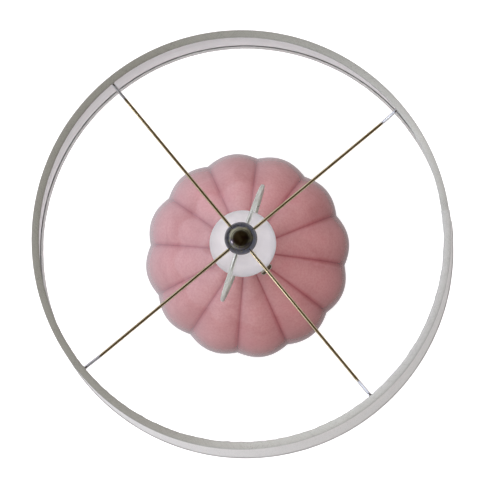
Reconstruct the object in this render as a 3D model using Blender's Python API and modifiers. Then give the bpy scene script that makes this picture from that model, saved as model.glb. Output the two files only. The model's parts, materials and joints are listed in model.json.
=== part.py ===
"""A table lamp with a ribbed ceramic base, a wire harp and a tapered drum shade.

The model is in metres with +Z up. The origin is on the table, under the middle of the
lamp. Neighbouring pieces keep a small clearance, so each one is a solid of its own.
"""
import math

import bmesh
import bpy
from mathutils import Matrix, Vector

GAP = 0.0003                    # clearance between neighbouring pieces

# Shade, measured over its rim tape
SHADE_TOP_RADIUS = 0.1776
SHADE_BOTTOM_RADIUS = 0.2032
SHADE_TOP = 0.5026              # height of the upper edge above the table
SHADE_BOTTOM = 0.2476
TAPE_THICKNESS = 0.0004
TAPE_OUTER_LEG = 0.0126         # how far the tape reaches down the outside
TAPE_INNER_LEG = 0.0044         # how far it reaches round the ring wire
SKIN_THICKNESS = 0.0004         # fabric cover and plastic liner alike
RING_WIRE = 0.00115             # wire radius of both shade rings
SHADE_SEGMENTS = 48

# Spider: the hub and the four arms that carry the shade
ARM_WIRE = 0.0014
ARM_ANGLE = 39.5                # degrees, the first of four arms a quarter turn apart
ARM_RISE_LENGTH = 0.0155        # the outer stretch that climbs to the ring
HUB_RADIUS = 0.0130
HUB_HOLE = 0.0036
HUB_THICKNESS = 0.0025

# Ceramic base: 12 ribs, with one rib's crest at RIB_ANGLE
RIBS = 12
RIB_ANGLE = 9.0                 # degrees
RIB_STEPS = 4                   # facets across one rib
GLAZED_WALL = 0.0055
CREST_PROFILE = [               # radius and height along a rib's crest
    (0.0565, 0.0023), (0.0800, 0.0200), (0.0995, 0.0550), (0.1075, 0.1000), (0.1005, 0.1430),
    (0.0785, 0.1790), (0.0500, 0.2035), (0.0300, 0.2220), (0.0215, 0.2400)]
NECK_TOP = CREST_PROFILE[-1][1]
NECK_BORE = 0.0110
FLOOR_UNDERSIDE = 0.0120
FLOOR_THICKNESS = 0.0060
FOOT_INNER_RADIUS = 0.0480
FELT_RADIUS = 0.0540
FELT_THICKNESS = 0.0020

# Cord outlet at the back, square to the wall on the rib nearest to +Y
CORD_HOLE_ANGLE = 99.0          # degrees
CORD_HOLE_HEIGHT = 0.0300
CORD_HOLE_RADIUS = 0.0056
CORD_BORE = 0.0034
SPOT_FACE_RADIUS = 0.0088
SPOT_FACE_DEPTH = 0.0014

# Threaded pipe and what is stacked on it
PIPE_RADIUS = 0.0050
PIPE_BORE = 0.0036
PIPE_BOTTOM = 0.0033
PIPE_TOP = 0.2990
PIPE_CLEARANCE = 0.0053         # radius of every hole that the pipe goes through
VASE_CAP_RADIUS = 0.0160
VASE_CAP_HEIGHT = 0.0047
NECK_TUBE_HEIGHT = 0.0307
CHECK_RING_HEIGHT = 0.0064
SADDLE_THICKNESS = 0.0020

# Harp: a wire loop whose plane stands at HARP_ANGLE
HARP_ANGLE = 70.4               # degrees
HARP_WIRE = 0.0019
HARP_LEG = 0.0220               # half the distance between its legs
HARP_FOOT = 0.2885
HARP_PROFILE = [                # distance from the axis and height, foot to top
    (HARP_LEG, HARP_FOOT), (HARP_LEG, 0.3040), (HARP_LEG, 0.3195), (0.0300, 0.3410),
    (0.0430, 0.3670), (0.0515, 0.3950), (0.0535, 0.4200), (0.0470, 0.4460), (0.0310, 0.4670),
    (0.0120, 0.4776), (0.0, 0.4790)]
CUP_RADIUS = 0.0030             # the saddle's cups, which the harp's feet stand in
CUP_BORE = 0.0022
CUP_TOP = 0.2990
FERRULE_BORE = 0.0033
FERRULE_RADIUS = 0.0042
FERRULE_BOTTOM = 0.2920
FERRULE_LENGTH = 0.0140
STUD_FLANGE = 0.0070
STUD_RADIUS = 0.0031
STUD_TOP = 0.4970

# Lamp holder with its turn-knob switch
HOLDER_TOP = 0.3450
CAP_RADIUS = 0.0172
CAP_TOP = 0.3030
SHELL_RADIUS = 0.0162
SHELL_BOTTOM = 0.2999
INSULATOR_TOP = 0.3225
SCREW_SHELL_BORE = 0.0134
SWITCH_ANGLE = 315.0            # degrees
SWITCH_HEIGHT = 0.3125
SWITCH_BORE = 0.0040
STEM_RADIUS = 0.0018
KNOB_START = 0.0265             # from the lamp's axis to the knob's near face
KNOB_WIDTH = 0.0126
KNOB_DEPTH = 0.0054
KNOB_THICKNESS = 0.0026

# Bulb with a medium screw cap
BULB_TIP = 0.3255
BULB_CAP_RADIUS = 0.0130
BULB_CAP_TOP = 0.3490
GLOBE_RADIUS = 0.0300
GLOBE_CENTRE = 0.4040
GLOBE_EDGE_ANGLE = -35.0        # degrees below the globe's widest place
GLOBE_WALL = 0.0012

# Finial
BALL_RADIUS = 0.0140
BALL_CENTRE = 0.5090
FINIAL_SEAT_RADIUS = 0.0085
FINIAL_BORE = 0.0034
SPIGOT_RADIUS = 0.0050


# Building helpers

def clear_scene():
    """Remove every object that the file opened with."""
    for thing in list(bpy.data.objects):
        bpy.data.objects.remove(thing, do_unlink=True)


def collection(name):
    """A collection of this name, linked to the scene."""
    group = bpy.data.collections.new(name)
    bpy.context.scene.collection.children.link(group)
    return group


def material(name, colour, roughness, metallic=0.0):
    """A Principled material from a linear colour."""
    made = bpy.data.materials.new(name)
    made.use_nodes = True
    shader = made.node_tree.nodes["Principled BSDF"]
    shader.inputs["Base Color"].default_value = (*colour, 1.0)
    shader.inputs["Roughness"].default_value = roughness
    shader.inputs["Metallic"].default_value = metallic
    return made


def add(name, data, finish):
    """A part from mesh or curve data, with its material, in the lamp's collection."""
    part = bpy.data.objects.new(name, data)
    data.materials.append(finish)
    PARTS.objects.link(part)
    return part


def turned(name, outline, finish, segments=20):
    """Turn (radius, height) points about Z. The outline runs down its outer side first.

    An outline that starts and ends on the axis makes a solid; any other is closed to a ring.
    """
    count = len(outline)
    is_solid = outline[0][0] == 0 and outline[-1][0] == 0
    edges = [(i, (i + 1) % count) for i in range(count - 1 if is_solid else count)]
    mesh = bpy.data.meshes.new(name)
    mesh.from_pydata([(radius, 0, height) for radius, height in outline], edges, [])
    part = add(name, mesh, finish)
    screw = part.modifiers.new("turn", 'SCREW')
    screw.steps = segments
    screw.render_steps = segments
    screw.use_merge_vertices = True
    screw.merge_threshold = 0.00001
    screw.use_smooth_shade = True
    return part


def tube_outline(outer, inner, bottom, top):
    """The section of a plain tube or washer."""
    return [(outer, top), (outer, bottom), (inner, bottom), (inner, top)]


def round_section(radius, ring_radius, height, sides):
    """The section of a wire that is bent to a ring."""
    turns = [-math.tau * i / sides for i in range(sides)]
    return [(ring_radius + radius * math.cos(t), height + radius * math.sin(t)) for t in turns]


def arc(radius, centre_height, start, end, steps):
    """Points of a circle about the axis, from one elevation in degrees to another."""
    angles = [math.radians(start + (end - start) * i / steps) for i in range(steps + 1)]
    points = [(radius * math.cos(a), centre_height + radius * math.sin(a)) for a in angles]
    return [(0.0 if distance < 1e-9 else distance, height) for distance, height in points]


def smooth_through(points, steps):
    """A smooth curve through points, with a number of steps from each to the next."""
    padded = [points[0], *points, points[-1]]
    curve = []
    for a, b, c, d in zip(padded, padded[1:], padded[2:], padded[3:]):
        for i in range(steps):
            t = i / steps
            weights = (-t + 2 * t**2 - t**3, 2 - 5 * t**2 + 3 * t**3,
                       t + 4 * t**2 - 3 * t**3, t**3 - t**2)
            curve.append(tuple(sum(w * p[axis] for w, p in zip(weights, (a, b, c, d))) / 2
                               for axis in range(len(a))))
    return [*curve, tuple(points[-1])]


def wire(name, points, radius, finish):
    """A round wire along points."""
    curve = bpy.data.curves.new(name, 'CURVE')
    curve.dimensions = '3D'
    curve.bevel_depth = radius
    curve.bevel_resolution = 2
    curve.use_fill_caps = True
    spline = curve.splines.new('POLY')
    spline.points.add(len(points) - 1)
    for control, point in zip(spline.points, points):
        control.co = (*point, 1.0)
    return add(name, curve, finish)


def plate(name, outline, thickness, finish):
    """A flat outline in the local XY plane, with half the thickness on each side of it."""
    curve = bpy.data.curves.new(name, 'CURVE')
    curve.dimensions = '2D'
    curve.fill_mode = 'BOTH'
    curve.extrude = thickness / 2
    spline = curve.splines.new('POLY')
    spline.points.add(len(outline) - 1)
    for control, (x, y) in zip(spline.points, outline):
        control.co = (x, y, 0.0, 1.0)
    spline.use_cyclic_u = True
    return add(name, curve, finish)


def as_mesh(part):
    """The part as a welded mesh object, which takes Boolean modifiers."""
    bpy.context.view_layer.update()
    evaluated = part.evaluated_get(bpy.context.evaluated_depsgraph_get())
    mesh = bpy.data.meshes.new_from_object(evaluated)
    shell = bmesh.new()
    shell.from_mesh(mesh)
    bmesh.ops.remove_doubles(shell, verts=shell.verts, dist=0.00001)
    shell.to_mesh(mesh)
    shell.free()
    name = part.name
    place = part.matrix_world.copy()
    bpy.data.objects.remove(part, do_unlink=True)
    made = bpy.data.objects.new(name, mesh)
    made.matrix_world = place
    PARTS.objects.link(made)
    return made


def cylinder_tool(name, radius, depth, segments=24):
    """A cylinder from the origin up +Z, kept with the cutters."""
    mesh = bpy.data.meshes.new(name)
    shell = bmesh.new()
    bmesh.ops.create_cone(shell, cap_ends=True, segments=segments, radius1=radius,
                          radius2=radius, depth=depth,
                          matrix=Matrix.Translation((0, 0, depth / 2)))
    shell.to_mesh(mesh)
    shell.free()
    return keep_as_tool(bpy.data.objects.new(name, mesh))


def box_tool(name, size, centre):
    """A box kept with the cutters."""
    mesh = bpy.data.meshes.new(name)
    shell = bmesh.new()
    bmesh.ops.create_cube(shell, size=1.0,
                          matrix=Matrix.Translation(centre) @ Matrix.Diagonal((*size, 1.0)))
    shell.to_mesh(mesh)
    shell.free()
    return keep_as_tool(bpy.data.objects.new(name, mesh))


def keep_as_tool(tool):
    """Hide a cutter from renders and show it as wire."""
    tool.hide_render = True
    tool.display_type = 'WIRE'
    TOOLS.objects.link(tool)
    return tool


def combine(part, tool, operation='DIFFERENCE'):
    """Cut the tool from the part, or join it on."""
    boolean = part.modifiers.new(operation.lower(), 'BOOLEAN')
    boolean.operation = operation
    boolean.solver = 'EXACT'
    boolean.object = tool


def facing(direction, point):
    """The placing that turns +Z to a direction and moves the origin to a point."""
    turn = Vector(direction).to_track_quat('Z', 'Y').to_matrix().to_4x4()
    return Matrix.Translation(point) @ turn


def around(angle, radius, height):
    """The point at an angle in degrees, a radius and a height."""
    turn = math.radians(angle)
    return Vector((radius * math.cos(turn), radius * math.sin(turn), height))


def outwards(angle, slope=0.0):
    """The unit direction away from the axis, tilted by a slope."""
    return around(angle, 1.0, slope).normalized()


def turn_to(part, angle):
    """Turn a part about the lamp's axis."""
    part.rotation_euler.z = math.radians(angle)
    return part


# Ceramic base and its foot

def crest_at(height):
    """The crest's radius at a height, and its slope there."""
    curve = smooth_through(CREST_PROFILE, 8)
    for (r0, z0), (r1, z1) in zip(curve, curve[1:]):
        if z0 <= height <= z1:
            slope = (r1 - r0) / (z1 - z0)
            return r0 + slope * (height - z0), slope
    raise ValueError("no wall at this height")


def inner_wall():
    """Points of the inside of the wall, top to bottom, one for each crest point."""
    points = []
    for (r0, z0), (r1, z1), (r2, z2) in zip(CREST_PROFILE, CREST_PROFILE[1:], CREST_PROFILE[2:]):
        along = Vector((r2 - r0, z2 - z0)).normalized()
        points.append((r1 - GLAZED_WALL * along.y, z1 + GLAZED_WALL * along.x))
    return points[::-1]


def press_ribs(mesh):
    """Press the grooves between the ribs into the turned wall."""
    for vertex in mesh.vertices:
        radius = math.hypot(vertex.co.x, vertex.co.y)
        angle = math.atan2(vertex.co.y, vertex.co.x)
        off_crest = 1 - abs(math.cos(RIBS / 2 * angle))
        above_foot = min(max((vertex.co.z - 0.005) / 0.020, 0.0), 1.0)
        outside_bore = min(max((radius - 0.012) / 0.008, 0.0), 1.0)
        depth = (0.0020 + 0.030 * radius) * off_crest * above_foot * outside_bore
        vertex.co.x *= 1 - depth / radius
        vertex.co.y *= 1 - depth / radius


def ceramic_base(finish):
    """The hollow ribbed body, open at its neck and at the hole in its floor."""
    floor_top = FLOOR_UNDERSIDE + FLOOR_THICKNESS
    inside = inner_wall()
    outline = [*smooth_through(CREST_PROFILE, 2)[::-1],
               (FOOT_INNER_RADIUS, CREST_PROFILE[0][1]), (FOOT_INNER_RADIUS - 0.001, FLOOR_UNDERSIDE),
               (PIPE_CLEARANCE, FLOOR_UNDERSIDE), (PIPE_CLEARANCE, floor_top),
               (0.0660, floor_top), *inside[::-1],
               (NECK_BORE, inside[0][1] + 0.008), (NECK_BORE, NECK_TOP)]
    body = as_mesh(turned("ceramic_base", outline, finish, RIBS * RIB_STEPS))
    press_ribs(body.data)
    turn_to(body, RIB_ANGLE)
    radius, slope = crest_at(CORD_HOLE_HEIGHT)
    crest = around(CORD_HOLE_ANGLE, radius, CORD_HOLE_HEIGHT)
    normal = outwards(CORD_HOLE_ANGLE, -slope)
    hole = cylinder_tool("cord_hole_tool", CORD_HOLE_RADIUS, 0.030, 16)
    hole.matrix_world = facing(normal, crest - normal * 0.020)
    spot_face = cylinder_tool("spot_face_tool", SPOT_FACE_RADIUS, 0.010)
    spot_face.matrix_world = facing(normal, crest - normal * SPOT_FACE_DEPTH)
    combine(body, hole)
    combine(body, spot_face)
    return crest, normal


def cord_grommet(crest, normal, finish):
    """The flanged bush in the cord outlet, with its flange on the spot face."""
    seat = GAP
    neck = CORD_HOLE_RADIUS - 0.0005
    outline = [(0.0072, seat + 0.0018), (0.0080, seat + 0.0010), (0.0080, seat), (neck, seat),
               (neck, -0.0065), (CORD_BORE, -0.0065), (CORD_BORE, seat + 0.0018)]
    grommet = turned("cord_grommet", outline, finish, 16)
    grommet.matrix_world = facing(normal, crest - normal * SPOT_FACE_DEPTH)


def foot(felt, steel):
    """The felt pad, and the washer and nut that clamp the pipe under the floor."""
    turned("felt_pad", [(0, FELT_THICKNESS), (FELT_RADIUS, FELT_THICKNESS), (FELT_RADIUS, 0),
                        (0, 0)], felt, SHADE_SEGMENTS)
    washer_top = FLOOR_UNDERSIDE - GAP
    washer_bottom = washer_top - 0.0015
    turned("base_washer", tube_outline(0.0400, PIPE_CLEARANCE, washer_bottom, washer_top), steel)
    hex_nut("base_nut", 0.0083, washer_bottom - GAP - 0.0047, 0.0047, steel)


def hex_nut(name, radius, bottom, height, finish):
    """A hexagon nut with a plain bore."""
    mesh = bpy.data.meshes.new(name)
    shell = bmesh.new()
    bmesh.ops.create_cone(shell, cap_ends=True, segments=6, radius1=radius, radius2=radius,
                          depth=height)
    shell.to_mesh(mesh)
    shell.free()
    nut = add(name, mesh, finish)
    nut.location.z = bottom + height / 2
    bore = cylinder_tool(name + "_tool", PIPE_CLEARANCE, 3 * height, 16)
    bore.location.z = bottom - height
    combine(nut, bore)


# The stack on the threaded pipe

def pipe_stack(steel, nickel):
    """The pipe, the cap on the ceramic neck, the neck tube and the check ring."""
    turned("threaded_pipe", tube_outline(PIPE_RADIUS, PIPE_BORE, PIPE_BOTTOM, PIPE_TOP), steel, 16)
    cap = NECK_TOP + GAP
    cap_top = cap + VASE_CAP_HEIGHT
    spigot = NECK_BORE - 0.0004
    turned("vase_cap", [
        (0.0100, cap_top), (0.0145, cap + 0.0033), (VASE_CAP_RADIUS, cap + 0.0013),
        (VASE_CAP_RADIUS, cap), (spigot, cap), (spigot, cap - 0.0023),
        (PIPE_CLEARANCE, cap - 0.0023), (PIPE_CLEARANCE, cap_top)], nickel)
    tube = cap_top + GAP
    tube_top = tube + NECK_TUBE_HEIGHT
    turned("neck_tube", [
        (0.0090, tube_top), (0.0090, tube_top - 0.0025), (0.0078, tube_top - 0.0045),
        (0.0078, tube + 0.0045), (0.0095, tube + 0.0020), (0.0095, tube),
        (PIPE_CLEARANCE, tube), (PIPE_CLEARANCE, tube_top)], nickel)
    ring = tube_top + GAP
    turned("check_ring", [
        (0.0088, ring + CHECK_RING_HEIGHT), (0.0100, ring + 0.0050), (0.0100, ring + 0.0014),
        (0.0088, ring), (PIPE_CLEARANCE, ring), (PIPE_CLEARANCE, ring + CHECK_RING_HEIGHT)], nickel)
    return ring + CHECK_RING_HEIGHT + GAP


# Lamp holder

def holder_notch(name):
    """The cutter for the notch that the switch stem passes through."""
    notch = box_tool(name, (0.010, 0.0086, 0.040), (0.0150, 0, SWITCH_HEIGHT + 0.0045 - 0.020))
    return turn_to(notch, SWITCH_ANGLE)


def radial_bore(part, radius, angle, height, start):
    """Drill a part from outside towards the axis, as far as the start radius."""
    drill = cylinder_tool(f"{part.name}_drill_{angle:.0f}", radius, 0.030, 16)
    drill.matrix_world = facing(outwards(angle), around(angle, start, height))
    combine(part, drill)


def holder(bottom, nickel, cardboard, phenolic, brass, steel):
    """The cap, shell, liner and inner parts of the lamp holder, bottom to top."""
    cap = turned("socket_cap", [
        (CAP_RADIUS, CAP_TOP), (CAP_RADIUS, 0.2985), (0.0140, 0.2940), (0.0088, 0.2915),
        (0.0080, bottom), (PIPE_CLEARANCE, bottom), (PIPE_CLEARANCE, 0.2930), (0.0075, 0.2930),
        (0.0130, 0.2955), (0.0166, 0.2992), (0.0166, CAP_TOP)], nickel)
    radial_bore(cap, 0.0014, HARP_ANGLE + 90, bottom + 0.0028, 0.0045)
    screw = turned("cap_set_screw", [
        (0, 0.0100), (0.0018, 0.0100), (0.0022, 0.0094), (0.0022, 0.0086), (0.0011, 0.0086),
        (0.0011, 0.0054), (0, 0.0054)], steel, 12)
    screw.matrix_world = facing(outwards(HARP_ANGLE + 90), (0, 0, bottom + 0.0028))

    shell = turned("socket_shell", [
        (0.0158, HOLDER_TOP), (SHELL_RADIUS, HOLDER_TOP - 0.0008), (SHELL_RADIUS, SHELL_BOTTOM),
        (0.0155, SHELL_BOTTOM), (0.0155, HOLDER_TOP)], nickel)
    combine(shell, holder_notch("shell_notch_tool"))
    liner = turned("socket_liner", tube_outline(0.0152, 0.0147, SHELL_BOTTOM + GAP,
                                                HOLDER_TOP - 0.001), cardboard)
    combine(liner, holder_notch("liner_notch_tool"))

    body = turned("socket_body", [
        (0, INSULATOR_TOP), (0.0142, INSULATOR_TOP), (0.0142, 0.3036), (0, 0.3036)], phenolic)
    radial_bore(body, SWITCH_BORE, SWITCH_ANGLE, SWITCH_HEIGHT, 0.0040)
    for name, finish, turn in (("terminal_screw_brass", brass, 90),
                               ("terminal_screw_silver", steel, -90)):
        angle = SWITCH_ANGLE + turn
        radial_bore(body, 0.0036, angle, SWITCH_HEIGHT, 0.0105)
        radial_bore(body, 0.0015, angle, SWITCH_HEIGHT, 0.0065)
        terminal = turned(name, [
            (0, 0.0128), (0.0024, 0.0128), (0.0030, 0.0122), (0.0030, 0.0108), (0.0012, 0.0108),
            (0.0012, 0.0070), (0, 0.0070)], finish, 12)
        terminal.matrix_world = facing(outwards(angle), (0, 0, SWITCH_HEIGHT))

    cup = INSULATOR_TOP + GAP
    turned("screw_shell", [
        (SCREW_SHELL_BORE + 0.0005, HOLDER_TOP - 0.001), (SCREW_SHELL_BORE + 0.0005, cup),
        (0.0070, cup), (0.0070, cup + 0.0005), (SCREW_SHELL_BORE, cup + 0.0005),
        (SCREW_SHELL_BORE, HOLDER_TOP - 0.001)], brass)
    spring = [(-0.0058, 0), (0.0012, 0.0018), (0.0030, 0.0014), (0.0030, 0.0009),
              (0.0012, 0.0013), (-0.0048, 0)]
    tongue = plate("centre_contact", spring, 0.0046, brass)
    tongue.matrix_world = (Matrix.Translation((0, 0, cup + 0.0003))
                           @ Matrix.Rotation(math.radians(90), 4, 'X'))


def switch(phenolic, nickel):
    """The rotor inside the holder, its stem and the knob outside."""
    direction = outwards(SWITCH_ANGLE)
    centre = (0, 0, SWITCH_HEIGHT)
    rotor = turned("switch_rotor", [(0, 0.0100), (0.0036, 0.0100), (0.0036, 0.0044), (0, 0.0044)],
                   phenolic, 16)
    rotor.matrix_world = facing(direction, centre)
    stem = turned("switch_stem", [
        (0, KNOB_START - GAP), (STEM_RADIUS, KNOB_START - GAP), (STEM_RADIUS, 0.0103),
        (0, 0.0103)], nickel, 12)
    stem.matrix_world = facing(direction, centre)

    half = KNOB_WIDTH / 2
    corner = KNOB_DEPTH / 2
    ends = [math.radians(-90 + 180 * i / 6) for i in range(7)]
    right = [(half - corner + corner * math.cos(a), corner * math.sin(a)) for a in ends]
    outline = right + [(-x, -y) for x, y in right]
    knob = as_mesh(plate("switch_knob", outline, KNOB_THICKNESS, nickel))
    knob.matrix_world = (Matrix.Rotation(math.radians(SWITCH_ANGLE - 90), 4, 'Z')
                         @ Matrix.Translation((0, KNOB_START + corner, SWITCH_HEIGHT)))
    sleeve = cylinder_tool("knob_sleeve_tool", 0.0032, 0.0052, 12)
    sleeve.matrix_world = facing(direction, around(SWITCH_ANGLE, KNOB_START - 0.0042, SWITCH_HEIGHT))
    combine(knob, sleeve, 'UNION')
    bore = cylinder_tool("knob_bore_tool", STEM_RADIUS + GAP, 0.0100, 12)
    bore.matrix_world = facing(direction, around(SWITCH_ANGLE, KNOB_START - 0.0100, SWITCH_HEIGHT))
    combine(knob, bore)


# Bulb

def bulb(diffuser, plastic, aluminium, board, nickel, glass, solder):
    """The globe, its housing with the plate and board inside, and the screw cap."""
    edge = math.radians(GLOBE_EDGE_ANGLE)
    edge_radius = GLOBE_RADIUS * math.cos(edge)
    edge_height = GLOBE_CENTRE + GLOBE_RADIUS * math.sin(edge)
    inner = arc(GLOBE_RADIUS - GLOBE_WALL, GLOBE_CENTRE, GLOBE_EDGE_ANGLE, 90, 8)
    turned("bulb_globe", [*arc(GLOBE_RADIUS, GLOBE_CENTRE, 90, GLOBE_EDGE_ANGLE, 10), *inner],
           diffuser)
    rim = edge_height - 2 * GAP
    wall = 0.0014
    foot_z = BULB_CAP_TOP + GAP
    turned("bulb_housing", [
        (edge_radius - 0.0004, rim), (0.0200, rim - 0.0105), (0.0160, rim - 0.0210),
        (0.0134, foot_z), (0.0120, foot_z), (0.0160 - wall, rim - 0.0205),
        (0.0200 - wall, rim - 0.0100), (edge_radius - 0.0012 - wall, rim)], plastic)
    plate_top = edge_height + 0.0022
    turned("bulb_led_plate", tube_outline(0.0215, 0.0020, plate_top - 0.0016, plate_top), aluminium)
    driver = plate("bulb_driver_board", [(-0.0105, 0.0), (0.0105, 0.0), (0.0105, 0.0260),
                                         (-0.0105, 0.0260)], 0.0016, board)
    driver.matrix_world = (Matrix.Translation((0, 0, BULB_CAP_TOP + 0.0020))
                           @ Matrix.Rotation(math.radians(90), 4, 'X'))
    cap = BULB_TIP + 0.0050
    turned("bulb_screw_cap", [
        (BULB_CAP_RADIUS - 0.0012, BULB_CAP_TOP), (BULB_CAP_RADIUS, BULB_CAP_TOP - 0.0020),
        (BULB_CAP_RADIUS, cap + 0.0025), (0.0100, cap), (0.0092, cap), (0.0092, cap + 0.0005),
        (BULB_CAP_RADIUS - 0.0006, cap + 0.0030), (BULB_CAP_RADIUS - 0.0006, BULB_CAP_TOP - 0.0022),
        (BULB_CAP_RADIUS - 0.0018, BULB_CAP_TOP)], nickel)
    turned("bulb_insulator", [
        (0.0088, cap + 0.0014), (0.0088, cap - 0.0002), (0.0060, cap - 0.0036),
        (0.0038, cap - 0.0036), (0.0038, cap + 0.0014)], glass, 16)
    turned("bulb_contact", [
        (0, cap + 0.0010), (0.0034, cap + 0.0010), (0.0034, cap - 0.0042), (0.0020, BULB_TIP),
        (0, BULB_TIP)], solder, 16)


# Harp

def harp(bottom, nickel, steel):
    """The saddle on the pipe, the wire loop with its stud, and the sliding ferrules."""
    rise = 0.0040
    top = bottom + SADDLE_THICKNESS
    end = HARP_LEG + 0.0022
    outline = [(-end, bottom + rise), (-0.0130, bottom), (0.0130, bottom), (end, bottom + rise),
               (end, top + rise), (0.0130, top), (-0.0130, top), (-end, top + rise)]
    saddle = as_mesh(plate("harp_saddle", outline, 0.0110, steel))
    saddle.matrix_world = (Matrix.Rotation(math.radians(HARP_ANGLE), 4, 'Z')
                           @ Matrix.Rotation(math.radians(90), 4, 'X'))
    hole = cylinder_tool("saddle_hole_tool", PIPE_CLEARANCE, 0.010, 16)
    hole.location.z = bottom - 0.004
    combine(saddle, hole)
    for side, angle in (("left", HARP_ANGLE), ("right", HARP_ANGLE + 180)):
        cup_bottom = bottom + rise - 0.0006
        cup = cylinder_tool(f"cup_{side}_tool", CUP_RADIUS, CUP_TOP - cup_bottom, 16)
        cup.location = around(angle, HARP_LEG, cup_bottom)
        combine(saddle, cup, 'UNION')
    for side, angle in (("left", HARP_ANGLE), ("right", HARP_ANGLE + 180)):
        bore = cylinder_tool(f"cup_bore_{side}_tool", CUP_BORE, 0.020, 16)
        bore.location = around(angle, HARP_LEG, HARP_FOOT - GAP)
        combine(saddle, bore)
        ferrule_top = FERRULE_BOTTOM + FERRULE_LENGTH
        ferrule = turned(f"ferrule_{side}", [
            (0.0036, ferrule_top - FERRULE_BOTTOM), (FERRULE_RADIUS, 0.0122),
            (FERRULE_RADIUS, 0.0), (FERRULE_BORE, 0.0), (FERRULE_BORE, 0.0110),
            (0.0026, 0.0126), (0.0026, ferrule_top - FERRULE_BOTTOM)], nickel, 16)
        ferrule.location = around(angle, HARP_LEG, FERRULE_BOTTOM)

    half = [around(HARP_ANGLE, u, z) for u, z in HARP_PROFILE[:2]]
    half += [around(HARP_ANGLE, u, z) for u, z in smooth_through(HARP_PROFILE[2:], 3)]
    other = [Vector((-p.x, -p.y, p.z)) for p in half[-2::-1]]
    wire("harp_wire", half + other, HARP_WIRE, nickel)
    flange = HARP_PROFILE[-1][1] + HARP_WIRE + GAP
    flange_top = flange + 0.0030
    turned("harp_stud", [
        (0, STUD_TOP), (STUD_RADIUS - 0.0006, STUD_TOP), (STUD_RADIUS, STUD_TOP - 0.0006),
        (STUD_RADIUS, flange_top), (STUD_FLANGE, flange_top), (STUD_FLANGE, flange),
        (0, flange)], nickel, 16)
    return flange_top + GAP


# Shade

def shade_radius(height, inset=0.0):
    """The shade's radius at a height, less an inset from its outermost face."""
    taper = (SHADE_BOTTOM_RADIUS - SHADE_TOP_RADIUS) / (SHADE_TOP - SHADE_BOTTOM)
    return SHADE_TOP_RADIUS + taper * (SHADE_TOP - height) - inset


def skin(name, inset, finish):
    """One of the shade's two skins: a cone with both edges inside the rim tape."""
    top = SHADE_TOP - TAPE_THICKNESS - GAP
    bottom = SHADE_BOTTOM + TAPE_THICKNESS + GAP
    inner = inset + SKIN_THICKNESS
    turned(name, [
        (shade_radius(top, inset), top), (shade_radius(bottom, inset), bottom),
        (shade_radius(bottom, inner), bottom), (shade_radius(top, inner), top)],
        finish, SHADE_SEGMENTS)


def rim(edge, inward, ring_inset, suffix, tape, steel):
    """The ring wire and the folded tape at one edge; inward is -1 at the top, +1 below."""
    crown = edge + inward * (TAPE_THICKNESS + GAP)
    ring_height = crown + inward * (RING_WIRE + GAP)
    ring_radius = shade_radius(ring_height, ring_inset + RING_WIRE)
    turned(f"shade_{suffix}_ring", round_section(RING_WIRE, ring_radius, ring_height, 6),
           steel, SHADE_SEGMENTS)
    inner = ring_radius - RING_WIRE - GAP
    fold = edge + inward * TAPE_THICKNESS
    leg = edge + inward * TAPE_OUTER_LEG
    tuck = edge + inward * TAPE_INNER_LEG
    outline = [
        (shade_radius(edge), edge), (shade_radius(leg), leg),
        (shade_radius(leg, TAPE_THICKNESS), leg), (shade_radius(fold, TAPE_THICKNESS), fold),
        (inner, fold), (inner, tuck), (inner - TAPE_THICKNESS, tuck), (inner - TAPE_THICKNESS, edge)]
    if inward > 0:
        outline.reverse()
    trim = turned(f"{suffix}_trim", outline, tape, SHADE_SEGMENTS)
    return trim, ring_radius, ring_height


def spider(hub_bottom, trim, ring_radius, ring_height, steel):
    """The hub on the harp's stud and four arms that end in notches of the rim tape."""
    hub_top = hub_bottom + HUB_THICKNESS
    turned("spider_hub", tube_outline(HUB_RADIUS, HUB_HOLE, hub_bottom, hub_top), steel)
    level = hub_top + GAP + ARM_WIRE
    tip = ring_radius - RING_WIRE - GAP
    tip_height = ring_height - 0.0004
    for number in range(4):
        angle = ARM_ANGLE + 90 * number
        bend = tip - ARM_RISE_LENGTH
        wire(f"spider_arm_{number + 1}", [
            around(angle, 0.0096, level), around(angle, bend - 0.004, level),
            around(angle, bend, level + 0.0009), around(angle, bend + 0.0035, level + 0.0033),
            around(angle, tip - 0.0012, tip_height - 0.0003), around(angle, tip, tip_height)],
            ARM_WIRE, steel)
        notch = box_tool(f"trim_notch_{number + 1}_tool", (0.0050, 0.0044, 0.0120),
                         (tip - 0.0007, 0, ring_height))
        combine(trim, turn_to(notch, angle))


def shade(hub_bottom, linen, styrene, tape, steel):
    """The cover, the liner, both rims and the spider."""
    cover_inset = TAPE_THICKNESS + GAP
    liner_inset = cover_inset + SKIN_THICKNESS + GAP
    ring_inset = liner_inset + SKIN_THICKNESS + GAP
    skin("shade_cover", cover_inset, linen)
    skin("shade_liner", liner_inset, styrene)
    rim(SHADE_BOTTOM, 1, ring_inset, "bottom", tape, steel)
    trim, ring_radius, ring_height = rim(SHADE_TOP, -1, ring_inset, "top", tape, steel)
    spider(hub_bottom, trim, ring_radius, ring_height, steel)
    return hub_bottom + HUB_THICKNESS


# Finial

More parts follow.
